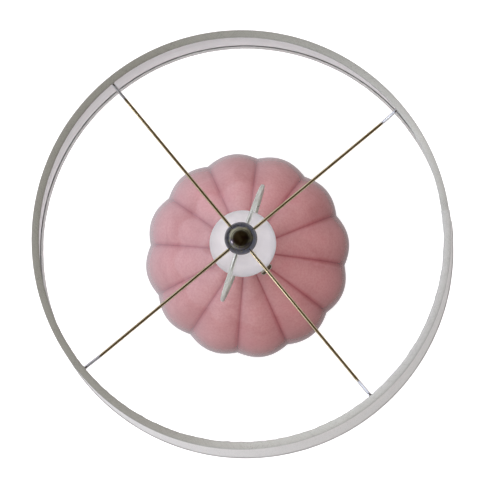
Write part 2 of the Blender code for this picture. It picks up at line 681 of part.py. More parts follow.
def finial(hub_top, brass, polished):
    """The threaded base that clamps the shade, and the ball fixed on its spigot."""
    seat = hub_top + GAP
    spigot_top = BALL_CENTRE - BALL_RADIUS * 0.45
    turned("finial_base", [
        (0, spigot_top), (SPIGOT_RADIUS, spigot_top), (SPIGOT_RADIUS, 0.4955), (0.0062, 0.4950),
        (0.0056, 0.4915), (FINIAL_SEAT_RADIUS, seat + 0.0018), (FINIAL_SEAT_RADIUS, seat),
        (FINIAL_BORE, seat), (FINIAL_BORE, STUD_TOP + 0.0010), (0, STUD_TOP + 0.0010)], brass)
    mouth = SPIGOT_RADIUS + GAP
    drop = math.degrees(math.asin(-math.sqrt(1 - (0.0068 / BALL_RADIUS) ** 2)))
    ball = arc(BALL_RADIUS, BALL_CENTRE, 90, drop, 11)
    turned("finial_ball", [*ball, (mouth, ball[-1][1]), (mouth, spigot_top + GAP),
                           (0, spigot_top + GAP)], polished)


def build_lamp():
    """Make every part, from the table up."""
    pink_glaze = material("dusty pink glazed ceramic", (0.47, 0.25, 0.28), 0.12)
    felt = material("black felt", (0.02, 0.02, 0.02), 0.95)
    steel = material("zinc-plated steel", (0.60, 0.60, 0.58), 0.35, 1.0)
    nickel = material("bright nickel plate", (0.72, 0.69, 0.65), 0.15, 1.0)
    brass = material("brass", (0.78, 0.60, 0.30), 0.30, 1.0)
    rubber = material("moulded rubber", (0.03, 0.03, 0.03), 0.70)
    cardboard = material("vulcanised fibre", (0.10, 0.07, 0.05), 0.85)
    phenolic = material("phenolic moulding", (0.03, 0.02, 0.02), 0.45)
    frosted = material("frosted diffuser", (0.80, 0.79, 0.81), 0.40)
    plastic = material("white moulded plastic", (0.78, 0.77, 0.76), 0.35)
    aluminium = material("aluminium sheet", (0.75, 0.75, 0.75), 0.40, 1.0)
    circuit = material("circuit board", (0.05, 0.20, 0.08), 0.50)
    black_glass = material("black glass", (0.01, 0.01, 0.01), 0.10)
    linen = material("woven linen cover", (0.60, 0.59, 0.58), 0.90)
    styrene = material("styrene liner", (0.52, 0.50, 0.54), 0.55)
    tape = material("bias tape", (0.45, 0.45, 0.43), 0.92)
    gunmetal = material("polished gunmetal", (0.10, 0.10, 0.11), 0.06, 1.0)

    crest, normal = ceramic_base(pink_glaze)
    cord_grommet(crest, normal, rubber)
    foot(felt, steel)
    saddle_bottom = pipe_stack(steel, nickel)
    holder(saddle_bottom + SADDLE_THICKNESS + GAP, nickel, cardboard, phenolic, brass, steel)
    switch(phenolic, nickel)
    bulb(frosted, plastic, aluminium, circuit, nickel, black_glass, steel)
    hub_bottom = harp(saddle_bottom, nickel, steel)
    hub_top = shade(hub_bottom, linen, styrene, tape, steel)
    finial(hub_top, gunmetal, gunmetal)


clear_scene()
PARTS = collection("table_lamp")
TOOLS = collection("table_lamp_cutters")
build_lamp()
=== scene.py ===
# %% [markdown]
# # A table lamp: ribbed ceramic base, wire harp and linen drum shade
# A lamp like this is a slip-cast ceramic body with a threaded pipe up its middle. Everything else is
# stacked on that pipe: a cap, a neck tube, the saddle of the harp and the lamp holder. The shade hangs
# from the top of the harp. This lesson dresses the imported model, piece by piece, in that order. The
# model is loaded first, because every size below is worked out from it.

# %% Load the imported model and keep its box
import json
import math
from functools import partial

import bmesh
import bpy
from mathutils import Matrix, Vector, noise


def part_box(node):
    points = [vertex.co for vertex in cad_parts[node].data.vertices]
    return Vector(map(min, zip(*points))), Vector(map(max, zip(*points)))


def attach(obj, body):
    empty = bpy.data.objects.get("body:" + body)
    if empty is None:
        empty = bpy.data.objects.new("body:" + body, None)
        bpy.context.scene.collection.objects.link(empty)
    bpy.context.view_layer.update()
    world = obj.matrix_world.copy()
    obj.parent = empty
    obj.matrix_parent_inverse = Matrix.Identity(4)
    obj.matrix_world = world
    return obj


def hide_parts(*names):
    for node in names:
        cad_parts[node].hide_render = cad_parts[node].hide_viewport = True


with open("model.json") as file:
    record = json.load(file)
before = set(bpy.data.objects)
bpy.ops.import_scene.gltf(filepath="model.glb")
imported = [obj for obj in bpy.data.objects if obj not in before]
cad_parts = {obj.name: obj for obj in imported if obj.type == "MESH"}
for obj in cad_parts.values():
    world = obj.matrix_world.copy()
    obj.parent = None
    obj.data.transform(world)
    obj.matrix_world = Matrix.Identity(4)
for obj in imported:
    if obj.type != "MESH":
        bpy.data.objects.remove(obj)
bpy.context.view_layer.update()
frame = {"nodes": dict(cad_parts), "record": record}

NODES = frame["nodes"]
BODY_OF = {node: body for body, group in frame["record"]["behaviour"]["bodies"].items() for node in group}
SLOT_OF = {part["node"]: part["material_slot"] for part in frame["record"]["subparts"]}

# %% [markdown]
# ## The camera
# The lamp is seen from almost straight above with a long lens, so the drum shade frames the base like
# a porthole. The camera stands a little to one side of the axis and a little forward, which is why the
# finial, the bulb and the base don't line up exactly. It is made first, because the studio and every
# finish are judged through it.

# %% Place the camera
CAMERA_PLACE = (0.0301, -0.0758, 2.2136)
CAMERA_TURN = (2.357, 0.895, -0.064)        # degrees about X, Y and Z, from looking straight down
LENS = 147.7                                # mm, on a sensor 36 mm wide

camera_data = bpy.data.cameras.new("camera")
camera_data.lens = LENS
camera_data.sensor_width = 36.0
camera = bpy.data.objects.new("camera", camera_data)
camera.location = CAMERA_PLACE
camera.rotation_euler = [math.radians(turn) for turn in CAMERA_TURN]
bpy.context.scene.collection.objects.link(camera)
bpy.context.scene.camera = camera
print(f"camera {CAMERA_PLACE[2]:.2f} m up, {LENS} mm lens")

# %% [markdown]
# ## Helpers for nodes and colours
# Materials, the world and Geometry Nodes are all node trees, so one small function serves them all: it
# adds a node, sets its properties, and fills or links its inputs. While one tree is being built, the
# function is bound to it as `add`. Colours are written as the sRGB hex values that a paint chart or a
# screen shows, and turned to the linear values that the renderer wants.

# %% Node and colour helpers
def linear(colour):
    """An sRGB hex colour as a linear one with full alpha."""
    channels = [int(colour[start:start + 2], 16) / 255 for start in (0, 2, 4)]
    return (*[c / 12.92 if c <= 0.04045 else ((c + 0.055) / 1.055) ** 2.4 for c in channels], 1.0)


def add_node(tree, kind, inputs=None, stops=None, **settings):
    """Add a node. An input takes a value, a socket, or a node, which stands for its live output.

    A key of inputs is a socket's place, name or identifier. Stops are a colour ramp's steps.
    """
    node = tree.nodes.new(kind)
    for name, value in settings.items():
        setattr(node, name, value)
    feed(node, inputs or {})
    if stops:
        ramp = node.color_ramp.elements
        while len(ramp) < len(stops):
            ramp.new(0.5)
        for step, (position, colour) in zip(ramp, stops):
            step.position, step.color = position, linear(colour)
    return node


def feed(node, inputs):
    """Fill or link inputs of a node. A node as a value stands for its first live output."""
    for key, value in inputs.items():
        if isinstance(key, int):
            socket = node.inputs[key]
        else:
            socket = next(s for s in node.inputs if key in (s.identifier, s.name))
        if isinstance(value, bpy.types.Node):
            value = next(output for output in value.outputs if output.enabled)
        if isinstance(value, bpy.types.NodeSocket):
            node.id_data.links.new(value, socket)
        else:
            socket.default_value = value


MULTIPLIED = {"data_type": 'RGBA', "blend_type": 'MULTIPLY'}     # a Mix node that tints a colour
print("linear mid grey:", round(linear("808080")[0], 3))

# %% [markdown]
# ## The studio
# The lamp stands on a seamless white table in a pale room that is brighter and cooler on the left, as
# if by a window. The ceiling is dark. That matters for the metal: a bright wire only reads as metal
# when it has something dark to reflect, and the wires here show a dark core between light edges. A dark
# ceiling would starve the matt parts, so a broad fill hangs overhead that mirrors don't see. A small
# soft light low on the left gives the ball and the glaze their one crisp highlight, and a dark rail
# round the room, a third of the way up, draws a thin line in everything glossy. The table glows a
# little, but mirrors look through it to the dimmer room, or its glow would wash out every lower edge.
# It glows as an over-lit sweep of white paper does, so that it stays white.

# %% Build the table, the room and the light
TABLE_HALF = 6.0
TABLE_GLOW = 0.70
CEILING = [(0.000, "b4b5b7"), (0.030, "dadbdd"), (0.330, "dadbdd"), (0.340, "202022"),
           (0.395, "202022"), (0.405, "e4e5e7"), (0.520, "6d6c6d"), (0.680, "43382c")]
WINDOW_ANGLE = 165.0                        # degrees round the lamp, the bright side of the room
WINDOW_RISE = 0.30
DIM_SIDE, BRIGHT_SIDE = 0.38, 2.45
WARM, COOL = "fff8f2", "eef2ff"
LAMP_MIDDLE = Vector((0, 0, 0.25))


def table():
    """The white sweep that the lamp stands on."""
    mesh = bpy.data.meshes.new("table")
    corners = [(-TABLE_HALF, -TABLE_HALF, 0), (TABLE_HALF, -TABLE_HALF, 0),
               (TABLE_HALF, TABLE_HALF, 0), (-TABLE_HALF, TABLE_HALF, 0)]
    mesh.from_pydata(corners, [], [(0, 1, 2, 3)])
    paper = bpy.data.materials.new("white seamless paper")
    paper.use_nodes = True
    shader = paper.node_tree.nodes["Principled BSDF"]
    shader.inputs["Base Color"].default_value = linear("dddddd")
    shader.inputs["Roughness"].default_value = 0.9
    shader.inputs["Emission Color"].default_value = linear("ffffff")
    shader.inputs["Emission Strength"].default_value = TABLE_GLOW
    mesh.materials.append(paper)
    made = bpy.data.objects.new("table", mesh)
    made.visible_glossy = False
    bpy.context.scene.collection.objects.link(made)
    return made


def room():
    """A world that is bright at the horizon, brightest on one side, and dark overhead."""
    world = bpy.data.worlds.new("pale room, dark ceiling")
    bpy.context.scene.world = world
    world.use_nodes = True
    tree = world.node_tree
    tree.nodes.clear()
    add = partial(add_node, tree)
    direction = add("ShaderNodeTexCoord").outputs["Generated"]
    height = add("ShaderNodeSeparateXYZ", {"Vector": direction}).outputs["Z"]
    shade = add("ShaderNodeValToRGB", {"Fac": height}, stops=CEILING)
    turn = math.radians(WINDOW_ANGLE)
    window = Vector((math.cos(turn), math.sin(turn), WINDOW_RISE)).normalized()
    toward = add("ShaderNodeVectorMath", {0: direction, 1: window}, operation='DOT_PRODUCT')
    side = add("ShaderNodeMapRange", {"Value": toward, "From Min": -1.0})
    tint = add("ShaderNodeMix", {"Factor_Float": side, "A_Color": linear(WARM), "B_Color": linear(COOL)},
               data_type='RGBA')
    tinted = add("ShaderNodeMix", {"Factor_Float": 1.0, "A_Color": shade, "B_Color": tint}, **MULTIPLIED)
    strength = add("ShaderNodeMapRange", {"Value": side, "To Min": DIM_SIDE, "To Max": BRIGHT_SIDE},
                   interpolation_type='SMOOTHSTEP')
    light = add("ShaderNodeBackground", {"Color": tinted, "Strength": strength})
    add("ShaderNodeOutputWorld", {"Surface": light})


def soft_light(name, angle, distance, height, size, power, colour, mirrored=True):
    """A rectangular light that faces the lamp, seen in mirrors or not."""
    data = bpy.data.lights.new(name, 'AREA')
    data.shape = 'RECTANGLE'
    data.size, data.size_y = size
    data.energy = power
    data.color = linear(colour)[:3]
    made = bpy.data.objects.new(name, data)
    turn = math.radians(angle)
    made.location = (distance * math.cos(turn), distance * math.sin(turn), height)
    made.rotation_euler = (LAMP_MIDDLE - made.location).to_track_quat('-Z', 'Y').to_euler()
    made.visible_glossy = mirrored
    bpy.context.scene.collection.objects.link(made)


table()
room()
soft_light("window", angle=203, distance=1.7, height=1.05, size=(0.45, 0.32), power=2.6, colour="eef3ff")
soft_light("overhead fill", angle=160, distance=0.1, height=2.7, size=(1.3, 1.3), power=59,
           colour="fffafb", mirrored=False)
bpy.context.scene.view_settings.view_transform = 'Standard'
print(f"room brightest at {WINDOW_ANGLE} degrees")

# %% [markdown]
# ## Finishes
# Each finish below is named for what the real surface is and how it was made. They all start the same
# way: a Principled shader with a colour, a roughness and any constants that hold all over. Then a few
# nodes, scaled in real millimetres on object coordinates, add what the eye looks for: pooled glaze,
# slubs of thread, tool marks, dust or wear. The finish is kept under its slot's name in a table of
# finishes.

# %% Start a finish
FINISHES = {}


def new_finish(slot, name, colour, roughness, constants=None):
    """A Principled material kept under a slot's name, as its adder, shader and coordinates."""
    made = bpy.data.materials.new(name)
    made.use_nodes = True
    tree = made.node_tree
    shader = tree.nodes["Principled BSDF"]
    values = {"Base Color": linear(colour), "Roughness": roughness, **(constants or {})}
    for socket, value in values.items():
        shader.inputs[socket].default_value = value
    FINISHES[slot] = made
    add = partial(add_node, tree)
    return add, shader, add("ShaderNodeTexCoord")


def per_mm(size):
    """The texture scale at which one feature is this many millimetres across."""
    return 1000.0 / size


print("scale of a 2 mm pattern:", per_mm(2))

# %% [markdown]
# ### The glaze
# The body is white earthenware dipped in a glossy dusty-pink glaze. A fired glaze is glass, so it has
# a high IOR and a very low roughness, with a second clear coat over the coloured one. It runs thick
# and dark into the grooves and thin and pale over the crests, so the colour follows the angle round
# the axis with the same cosine that shapes the ribs. Large soft clouds break the colour up, and a
# faint orange-peel bump bends its reflections. Below the shoulder the colour is painted a shade
# deeper, darkest towards the foot: painted shade on the lower body. The foot ring is wiped bare
# before firing, down to matt clay.

# %% Pink glaze
RIBS = 12
RIB_ANGLE = 9.0                             # degrees, the crest of the first rib
GLAZE_ROUGHNESS = 0.05
POOLED = [(0.00, "84444a"), (0.07, "98565a"), (0.30, "a97374"), (1.00, "b17d7d")]
CLOUDED = [(0.30, "efe4e4"), (0.52, "ffffff"), (0.72, "fff3f6")]
GRAINED = [(0.35, "f6efef"), (0.60, "ffffff")]
# painted shade: the lower body's colour is darkened towards the foot
LOWER_PAINTED_SHADE = [(0.00, "d2c4c4"), (0.45, "d8cccc"), (0.65, "e4dcdc"), (0.87, "f9f6f6"), (1.00, "ffffff")]
SHOULDER = (0.06, 0.17)                     # heights over which the painted shade of the lower body fades out
WIPED = (0.0042, 0.0052)                    # heights between which the bare clay ends


def pink_glaze():
    add, shader, place = new_finish("pink_glaze", "glossy pink glaze on earthenware", "b98c90",
                                    GLAZE_ROUGHNESS, {"IOR": 1.62, "Coat Weight": 0.6, "Coat IOR": 1.60,
                                                      "Coat Roughness": 0.02})
    where = place.outputs["Object"]
    split = add("ShaderNodeSeparateXYZ", {"Vector": where})
    height = split.outputs["Z"]
    angle = add("ShaderNodeMath", {0: split.outputs["Y"], 1: split.outputs["X"]}, operation='ARCTAN2')
    half_turns = add("ShaderNodeMath", {0: angle, 1: RIBS / 2, 2: -RIBS / 2 * math.radians(RIB_ANGLE)},
                     operation='MULTIPLY_ADD')
    wave = add("ShaderNodeMath", {0: half_turns}, operation='COSINE')
    crest = add("ShaderNodeMath", {0: wave}, operation='ABSOLUTE')
    colour = add("ShaderNodeValToRGB", {"Fac": crest}, stops=POOLED)
    clouds = add("ShaderNodeTexNoise", {"Vector": where, "Scale": per_mm(38), "Detail": 5.0,
                                        "Roughness": 0.55, "Distortion": 0.6})
    grain = add("ShaderNodeTexNoise", {"Vector": where, "Scale": per_mm(2.2), "Detail": 3.0})
    # painted shade below the shoulder, darker towards the foot
    shoulder = add("ShaderNodeMapRange", {"Value": height, "From Min": SHOULDER[0],
                                          "From Max": SHOULDER[1]})
    for pattern, stops in ((clouds, CLOUDED), (grain, GRAINED), (shoulder, LOWER_PAINTED_SHADE)):
        tint = add("ShaderNodeValToRGB", {"Fac": pattern}, stops=stops)
        colour = add("ShaderNodeMix", {"Factor_Float": 1.0, "A_Color": colour, "B_Color": tint},
                     **MULTIPLIED)
    bare = add("ShaderNodeMapRange", {"Value": height, "From Min": WIPED[1], "From Max": WIPED[0]})
    body = add("ShaderNodeMix", {"Factor_Float": bare, "A_Color": colour, "B_Color": linear("d8cbb9")},
               data_type='RGBA')
    gloss = add("ShaderNodeMapRange", {"Value": bare, "To Min": GLAZE_ROUGHNESS, "To Max": 0.85})
    peel = add("ShaderNodeTexNoise", {"Vector": where, "Scale": per_mm(9), "Detail": 2.0})
    bump = add("ShaderNodeBump", {"Height": peel, "Strength": 0.12, "Distance": 0.0004})
    feed(shader, {"Base Color": body, "Roughness": gloss, "Normal": bump})


pink_glaze()
print("glaze pools at", RIBS, "grooves")

# %% [markdown]
# ### The metals
# Bright nickel plate, zinc plate, brass, aluminium and the dark gunmetal of the finial are one recipe:
# a metal's colour, a roughness that wanders with handling, and fine working marks. Turned and spun
# parts carry marks that run round the axis, so the marks change with height only. They are finer than a
# render can show, so they are drawn a few times coarser and kept shallow. A metal keeps the shader's
# default IOR, and gets its edge tint from metallic alone.

# %% Metal finishes
SMUDGE = 14                                 # mm, the size of a handled or tarnished patch
MARKS = 0.5                                 # mm, from one working mark to the next


def patchy(add, shader, patches, tones, roughness, swing, marks, mark_depth):
    """Tone and roughness that follow a noise of patches, over marks that only bend the light."""
    tint = add("ShaderNodeValToRGB", {"Fac": patches}, stops=tones)
    rough = add("ShaderNodeMapRange", {"Value": patches, "From Min": 0.3, "From Max": 0.7,
                                       "To Min": roughness * swing[0], "To Max": roughness * swing[1]})
    bump = add("ShaderNodeBump", {"Height": marks, "Strength": 0.5, "Distance": mark_depth})
    feed(shader, {"Base Color": tint, "Roughness": rough, "Normal": bump})


def metal(slot, name, light, dark, roughness, mark_depth=0.000004):
    """A metal finish that is darker and rougher in patches, with marks stretched round the axis."""
    add, shader, place = new_finish(slot, name, light, roughness, {"Metallic": 1.0})
    where = place.outputs["Object"]
    patches = add("ShaderNodeTexNoise", {"Vector": where, "Scale": per_mm(SMUDGE), "Detail": 4.0,
                                         "Roughness": 0.6})
    drawn = add("ShaderNodeMapping", {"Vector": where, "Scale": (0.04, 0.04, 1.0)})
    marks = add("ShaderNodeTexNoise", {"Vector": drawn, "Scale": per_mm(MARKS), "Detail": 2.0})
    patchy(add, shader, patches, [(0.34, dark), (0.58, light)], roughness, (1.35, 0.75), marks,
           mark_depth)
    return add, shader, where


metal("nickel_plate", "bright nickel plate on steel", "dcd8ce", "c9c3b4", 0.13)
metal("zinc_steel", "zinc-plated steel", "c9cbcb", "a9aba9", 0.30, mark_depth=0.00001)
metal("satin_nickel", "satin nickel plate", "f2f4ec", "e8eae0", 0.32, mark_depth=0.000001)
metal("brass", "drawn cartridge brass", "d9b871", "b9924e", 0.24)
metal("aluminium_sheet", "pressed aluminium sheet", "d3d4d6", "bfc0c2", 0.38)
print("metals:", [material.name for material in FINISHES.values() if "glaze" not in material.name])

# %% [markdown]
# The spider's arms are plated a pale gold. The last stretch of each, where it climbs to the ring, is
# painted a neutral silver, as a painted reflection on the climbing wire.
#
# The finial is the other metal with a story of its own. Its ball is polished gunmetal: nearly black
# nickel, blue-grey round the sides, with an olive-brown reflection painted on top. The painted
# reflection has a wavering edge, so it is driven by height and a coarse noise together.

# %% Warm plate and gunmetal
PAINTED_REFLECTION_ENDS = (0.155, 0.158)                 # radii over which the arms turn to a painted silver reflection


def warm_plate():
    add, shader, where = metal("warm_plate", "yellow-passivated zinc plate", "dccda8", "c7b68e", 0.14)
    flat = add("ShaderNodeVectorMath", {0: where, 1: (1.0, 1.0, 0.0)}, operation='MULTIPLY')
    reach = add("ShaderNodeVectorMath", {0: flat}, operation='LENGTH')
    # painted reflection: past these radii the arm is coloured silver
    bare = add("ShaderNodeMapRange", {"Value": reach, "From Min": PAINTED_REFLECTION_ENDS[0],
                                      "From Max": PAINTED_REFLECTION_ENDS[1]})
    plated = shader.inputs["Base Color"].links[0].from_socket
    colour = add("ShaderNodeMix", {"Factor_Float": bare, "A_Color": plated, "B_Color": linear("cfcfd1")},
                 data_type='RGBA')
    feed(shader, {"Base Color": colour})


warm_plate()
BALL_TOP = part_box("finial_ball")[1].z


def gunmetal():
    add, shader, where = metal("gunmetal", "polished gunmetal", "5c5d69", "4c4c55", 0.07,
                                mark_depth=0.000002)
    height = add("ShaderNodeSeparateXYZ", {"Vector": where}).outputs["Z"]
    waver = add("ShaderNodeTexNoise", {"Vector": where, "Scale": per_mm(7), "Detail": 3.0,
                                       "Distortion": 1.2})
    lifted = add("ShaderNodeMath", {0: waver, 1: 0.016, 2: height}, operation='MULTIPLY_ADD')
    # painted reflection: the top of the ball is coloured olive brown
    painted_reflection_patch = add("ShaderNodeMapRange", {"Value": lifted, "From Min": BALL_TOP + 0.0010,
                                        "From Max": BALL_TOP + 0.0067}, interpolation_type='SMOOTHSTEP')
    painted_reflection_tone = add("ShaderNodeValToRGB", {"Fac": waver}, stops=[(0.36, "5b4232"), (0.50, "6d6953"),
                                                              (0.64, "807c68")])
    colour = add("ShaderNodeMix", {"Factor_Float": painted_reflection_patch, "A_Color": linear("5a5b66"),
                                   "B_Color": painted_reflection_tone}, data_type='RGBA')
    feed(shader, {"Base Color": colour})


gunmetal()
print(f"finial top at {BALL_TOP * 1000:.1f} mm")

# %% [markdown]
# ### Plastics, glass and rubber
# The bulb's globe is frosted polycarbonate: a milky body that light soaks into, under a satin skin, so
# it takes a little subsurface scatter and a middling roughness. Its housing is white ABS, slightly
# glossier. The switch body is black phenolic, the cord's bush is matt rubber, and the sleeve in the
# holder is vulcanised fibre, a hard black card. They share a recipe: a colour that drifts a little, a
# roughness that drifts with it, and a fine bump from the mould's texture or the fibres.

# %% Moulded finishes
def moulded(slot, name, light, dark, roughness, drift=9, grain=0.4, grain_depth=0.00001, constants=None):
    """A plastic, rubber or board finish with a slow drift of tone and a fine grain."""
    add, shader, place = new_finish(slot, name, light, roughness, constants)
    where = place.outputs["Object"]
    slow = add("ShaderNodeTexNoise", {"Vector": where, "Scale": per_mm(drift), "Detail": 3.0})
    fine = add("ShaderNodeTexNoise", {"Vector": where, "Scale": per_mm(grain), "Detail": 2.0})
    patchy(add, shader, slow, [(0.35, dark), (0.60, light)], roughness, (1.2, 0.85), fine, grain_depth)


moulded("frosted_diffuser", "frosted polycarbonate", "efedf1", "e9e7ec", 0.38,
        constants={"IOR": 1.58, "Subsurface Weight": 0.25, "Subsurface Radius": (0.004, 0.004, 0.004),
                   "Subsurface Scale": 1.0})
moulded("white_plastic", "moulded white ABS", "ecebe8", "e3e2de", 0.32)
moulded("black_rubber", "moulded black rubber", "2c2c2c", "232323", 0.68, grain=0.8, grain_depth=0.00003)
moulded("phenolic", "black phenolic moulding", "332a26", "261f1c", 0.40)
moulded("vulcanised_fibre", "vulcanised fibre", "4a4039", "372f29", 0.80, grain=1.2, grain_depth=0.00004)
moulded("black_glass", "black fused glass", "181818", "101010", 0.08, constants={"IOR": 1.52})
moulded("circuit_board", "green solder mask", "2f7a43", "276b39", 0.42)
print(len(FINISHES), "finishes so far")

# %% [markdown]
# ### Fabrics
# The cover is a plain-woven linen. Linen yarn is uneven: thick slubs run along single threads both
# ways, and they are what the eye picks out at arm's length. The threads are about half a millimetre
# apart, too fine to show, so the weave is drawn at 1.1 mm and the slubs at 1 to 2 mm wide. Both follow
# the piece's own UV map, which holds real metres along and across the cloth. The rim tape is cut on
# the bias, so its weave runs at 45 degrees, and its nap is brushed. Its colour is darkened along its
# length, most over the middle stretch round the left of the shade: painted shade, so its two ends
# don't match where they lap. The lower tape has no painted shade. The liner is a white styrene film
# laminated under the cloth. The foot is pressed wool felt.

# %% Linen, tape, liner and felt
WEAVE = 1.1                                 # mm, drawn coarser than the real 0.5 mm


def threads(add, along, across_scale, along_scale, seed):
    """Noise drawn out along one thread direction of the cloth."""
    stretched = add("ShaderNodeMapping", {"Vector": along, "Scale": (across_scale, along_scale, 1.0),
                                          "Location": (seed, seed, seed)})
    return add("ShaderNodeTexNoise", {"Vector": stretched, "Scale": 1.0, "Detail": 2.0,
                                      "Roughness": 0.5})


def woven(slot, name, light, dark, weave, turn, slub_widths, nap, constants, faded=None):
    """A plain weave on a UV map in metres, turned by an angle, with slubs of given widths in mm.

    The last argument is a colour ramp's steps that darken the cloth along its length, in metres: painted
    shade.
    """
    add, shader, place = new_finish(slot, name, light, 0.85, constants)
    cloth = add("ShaderNodeMapping", {"Vector": place.outputs["UV"],
                                      "Rotation": (0, 0, math.radians(turn))})
    warp = threads(add, cloth, per_mm(slub_widths[0]), per_mm(45), 3.0)
    weft = threads(add, cloth, per_mm(30), per_mm(slub_widths[1]), 7.0)
    slubs = add("ShaderNodeMath", {0: warp, 1: weft}, operation='ADD')
    mean = add("ShaderNodeMath", {0: slubs, 1: 0.5}, operation='MULTIPLY')
    tint = add("ShaderNodeValToRGB", {"Fac": mean}, stops=[(0.36, dark), (0.50, light), (0.66, dark)])
    split = add("ShaderNodeSeparateXYZ", {"Vector": cloth})
    crossings = []
    for axis in ("X", "Y"):
        phase = add("ShaderNodeMath", {0: split.outputs[axis], 1: math.tau * per_mm(weave) / 2},
                    operation='MULTIPLY')
        crossings.append(add("ShaderNodeMath", {0: phase}, operation='SINE'))
    over = add("ShaderNodeMath", {0: crossings[0], 1: crossings[1]}, operation='MULTIPLY')
    yarn = add("ShaderNodeMapRange", {"Value": over, "From Min": -1.0, "From Max": 1.0, "To Min": 0.90,
                                      "To Max": 1.0})
    shaded = add("ShaderNodeMix", {"Factor_Float": 1.0, "A_Color": tint, "B_Color": yarn}, **MULTIPLIED)
    # painted shade: a ramp along the cloth's length darkens its colour
    if faded:
        length = add("ShaderNodeSeparateXYZ", {"Vector": place.outputs["UV"]}).outputs["X"]
        drift = add("ShaderNodeValToRGB", {"Fac": length}, stops=faded)
        shaded = add("ShaderNodeMix", {"Factor_Float": 1.0, "A_Color": shaded, "B_Color": drift},
                     **MULTIPLIED)
    fuzz = add("ShaderNodeTexNoise", {"Vector": place.outputs["Object"], "Scale": per_mm(nap),
                                      "Detail": 4.0})
    height = add("ShaderNodeMath", {0: over, 1: 0.35, 2: slubs}, operation='MULTIPLY_ADD')
    total = add("ShaderNodeMath", {0: fuzz, 1: 0.6, 2: height}, operation='MULTIPLY_ADD')
    bump = add("ShaderNodeBump", {"Height": total, "Strength": 0.6, "Distance": 0.00018})
    feed(shader, {"Base Color": shaded, "Normal": bump})


CLOTH_SHEEN = {"Sheen Weight": 0.15, "Sheen Roughness": 0.5, "IOR": 1.45}
woven("linen", "plain-woven linen", "dddcda", "c2c1be", WEAVE, 0, (1.1, 0.9), 1.5, CLOTH_SHEEN)
TAPE_SHEEN = {"Sheen Weight": 0.35, "Sheen Roughness": 0.4, "IOR": 1.45}
# painted shade: the rim tape is darkened most over the middle of its length, round the left of the shade
TAPE_PAINTED_SHADE = [(0.00, "c2c3c1"), (0.08, "d4d5d4"), (0.18, "b3b4b0"), (0.36, "95948c"),
              (0.66, "9e9d96"), (0.76, "aaa9a3"), (0.84, "cececb"), (0.93, "d4d5d3"),
              (0.99, "d0d1d1")]
woven("rim_tape", "brushed bias tape, faded", "dbdddb", "c0c2bf", 0.9, 45, (0.8, 0.8), 0.8,
      TAPE_SHEEN, TAPE_PAINTED_SHADE)
woven("unshaded_tape", "brushed bias tape", "d6d7d6", "c6c7c5", 0.9, 45, (0.8, 0.8), 0.8, TAPE_SHEEN)
moulded("styrene", "laminated styrene film", "f0f2f3", "eaeced", 0.50, drift=60, grain=1.5,
        grain_depth=0.00002, constants={"IOR": 1.55})
moulded("black_felt", "pressed wool felt", "30302f", "1b1b1b", 0.95, drift=2.5, grain=0.6,
        grain_depth=0.00025, constants={"Sheen Weight": 0.4, "Sheen Roughness": 0.6})
print(len(FINISHES), "finishes for", len(set(SLOT_OF.values())), "slots; missing:",
      sorted(set(SLOT_OF.values()) - set(FINISHES)))

# %% [markdown]
# ## Turned parts
# Most of a lamp comes off a lathe or a spinning chuck, so most pieces share one method. The packed
# model's turned parts are coarse, but each still holds the outline that it was turned from, along the
# seam where its first facet starts. Reading that outline back gives every radius and height with none
# restated. The outline's slight bends are then redrawn as smooth curves, its sharp corners are rounded
# as a tool or a polishing wheel leaves them, and the result is turned again, finely.

# %% Read an outline, refine it and turn it
TINY = 2e-6
SHARP = 32.0                                # degrees, a bend that stays a corner


def section_of(node, place=Matrix()):
    """The outline that a part was turned from, and whether it runs from axis to axis.

    The place is the turn and shift that the part's own axis has in the lamp.
    """
    shell = bmesh.new()
    shell.from_mesh(NODES[node].data)
    shell.transform(place.inverted())
    bmesh.ops.remove_doubles(shell, verts=shell.verts, dist=TINY)
    seam = {v for v in shell.verts if abs(v.co.y) < TINY and v.co.x > -TINY}
    near = {v: [e.other_vert(v) for e in v.link_edges if e.other_vert(v) in seam] for v in seam}
    ends = [v for v in seam if len(near[v]) == 1]
    here, path = max(ends or seam, key=lambda v: (v.co.z, v.co.x)), []
    while here:
        path.append(here)
        here = next((v for v in near[here] if v not in path), None)
    outline = [Vector((max(v.co.x, 0.0), v.co.z)) for v in path]
    shell.free()
    if ends and outline[0].x > TINY:
        outline.insert(0, Vector((0.0, outline[0].y)))
    if ends and outline[-1].x > TINY:
        outline.append(Vector((0.0, outline[-1].y)))
    return outline, bool(ends)


def smooth_through(points, steps):
    """A smooth curve through points that keeps long straight stretches straight."""
    if len(points) < 3:
        return list(points)
    chords = [after - before for before, after in zip(points, points[1:])]
    leads = [(a * a.length + b * b.length).normalized() for a, b in zip(chords, chords[1:])]
    first = 2 * chords[0].normalized() - leads[0]
    last = 2 * chords[-1].normalized() - leads[-1]
    leads = [first.normalized(), *leads, last.normalized()]
    curve = []
    for start, chord, lead_in, lead_out in zip(points, chords, leads, leads[1:]):
        for step in range(steps):
            t = step / steps
            curve.append(start + chord * (3 * t**2 - 2 * t**3)
                         + lead_in * chord.length * (t - 2 * t**2 + t**3)
                         + lead_out * chord.length * (t**3 - t**2))
    return [*curve, points[-1]]


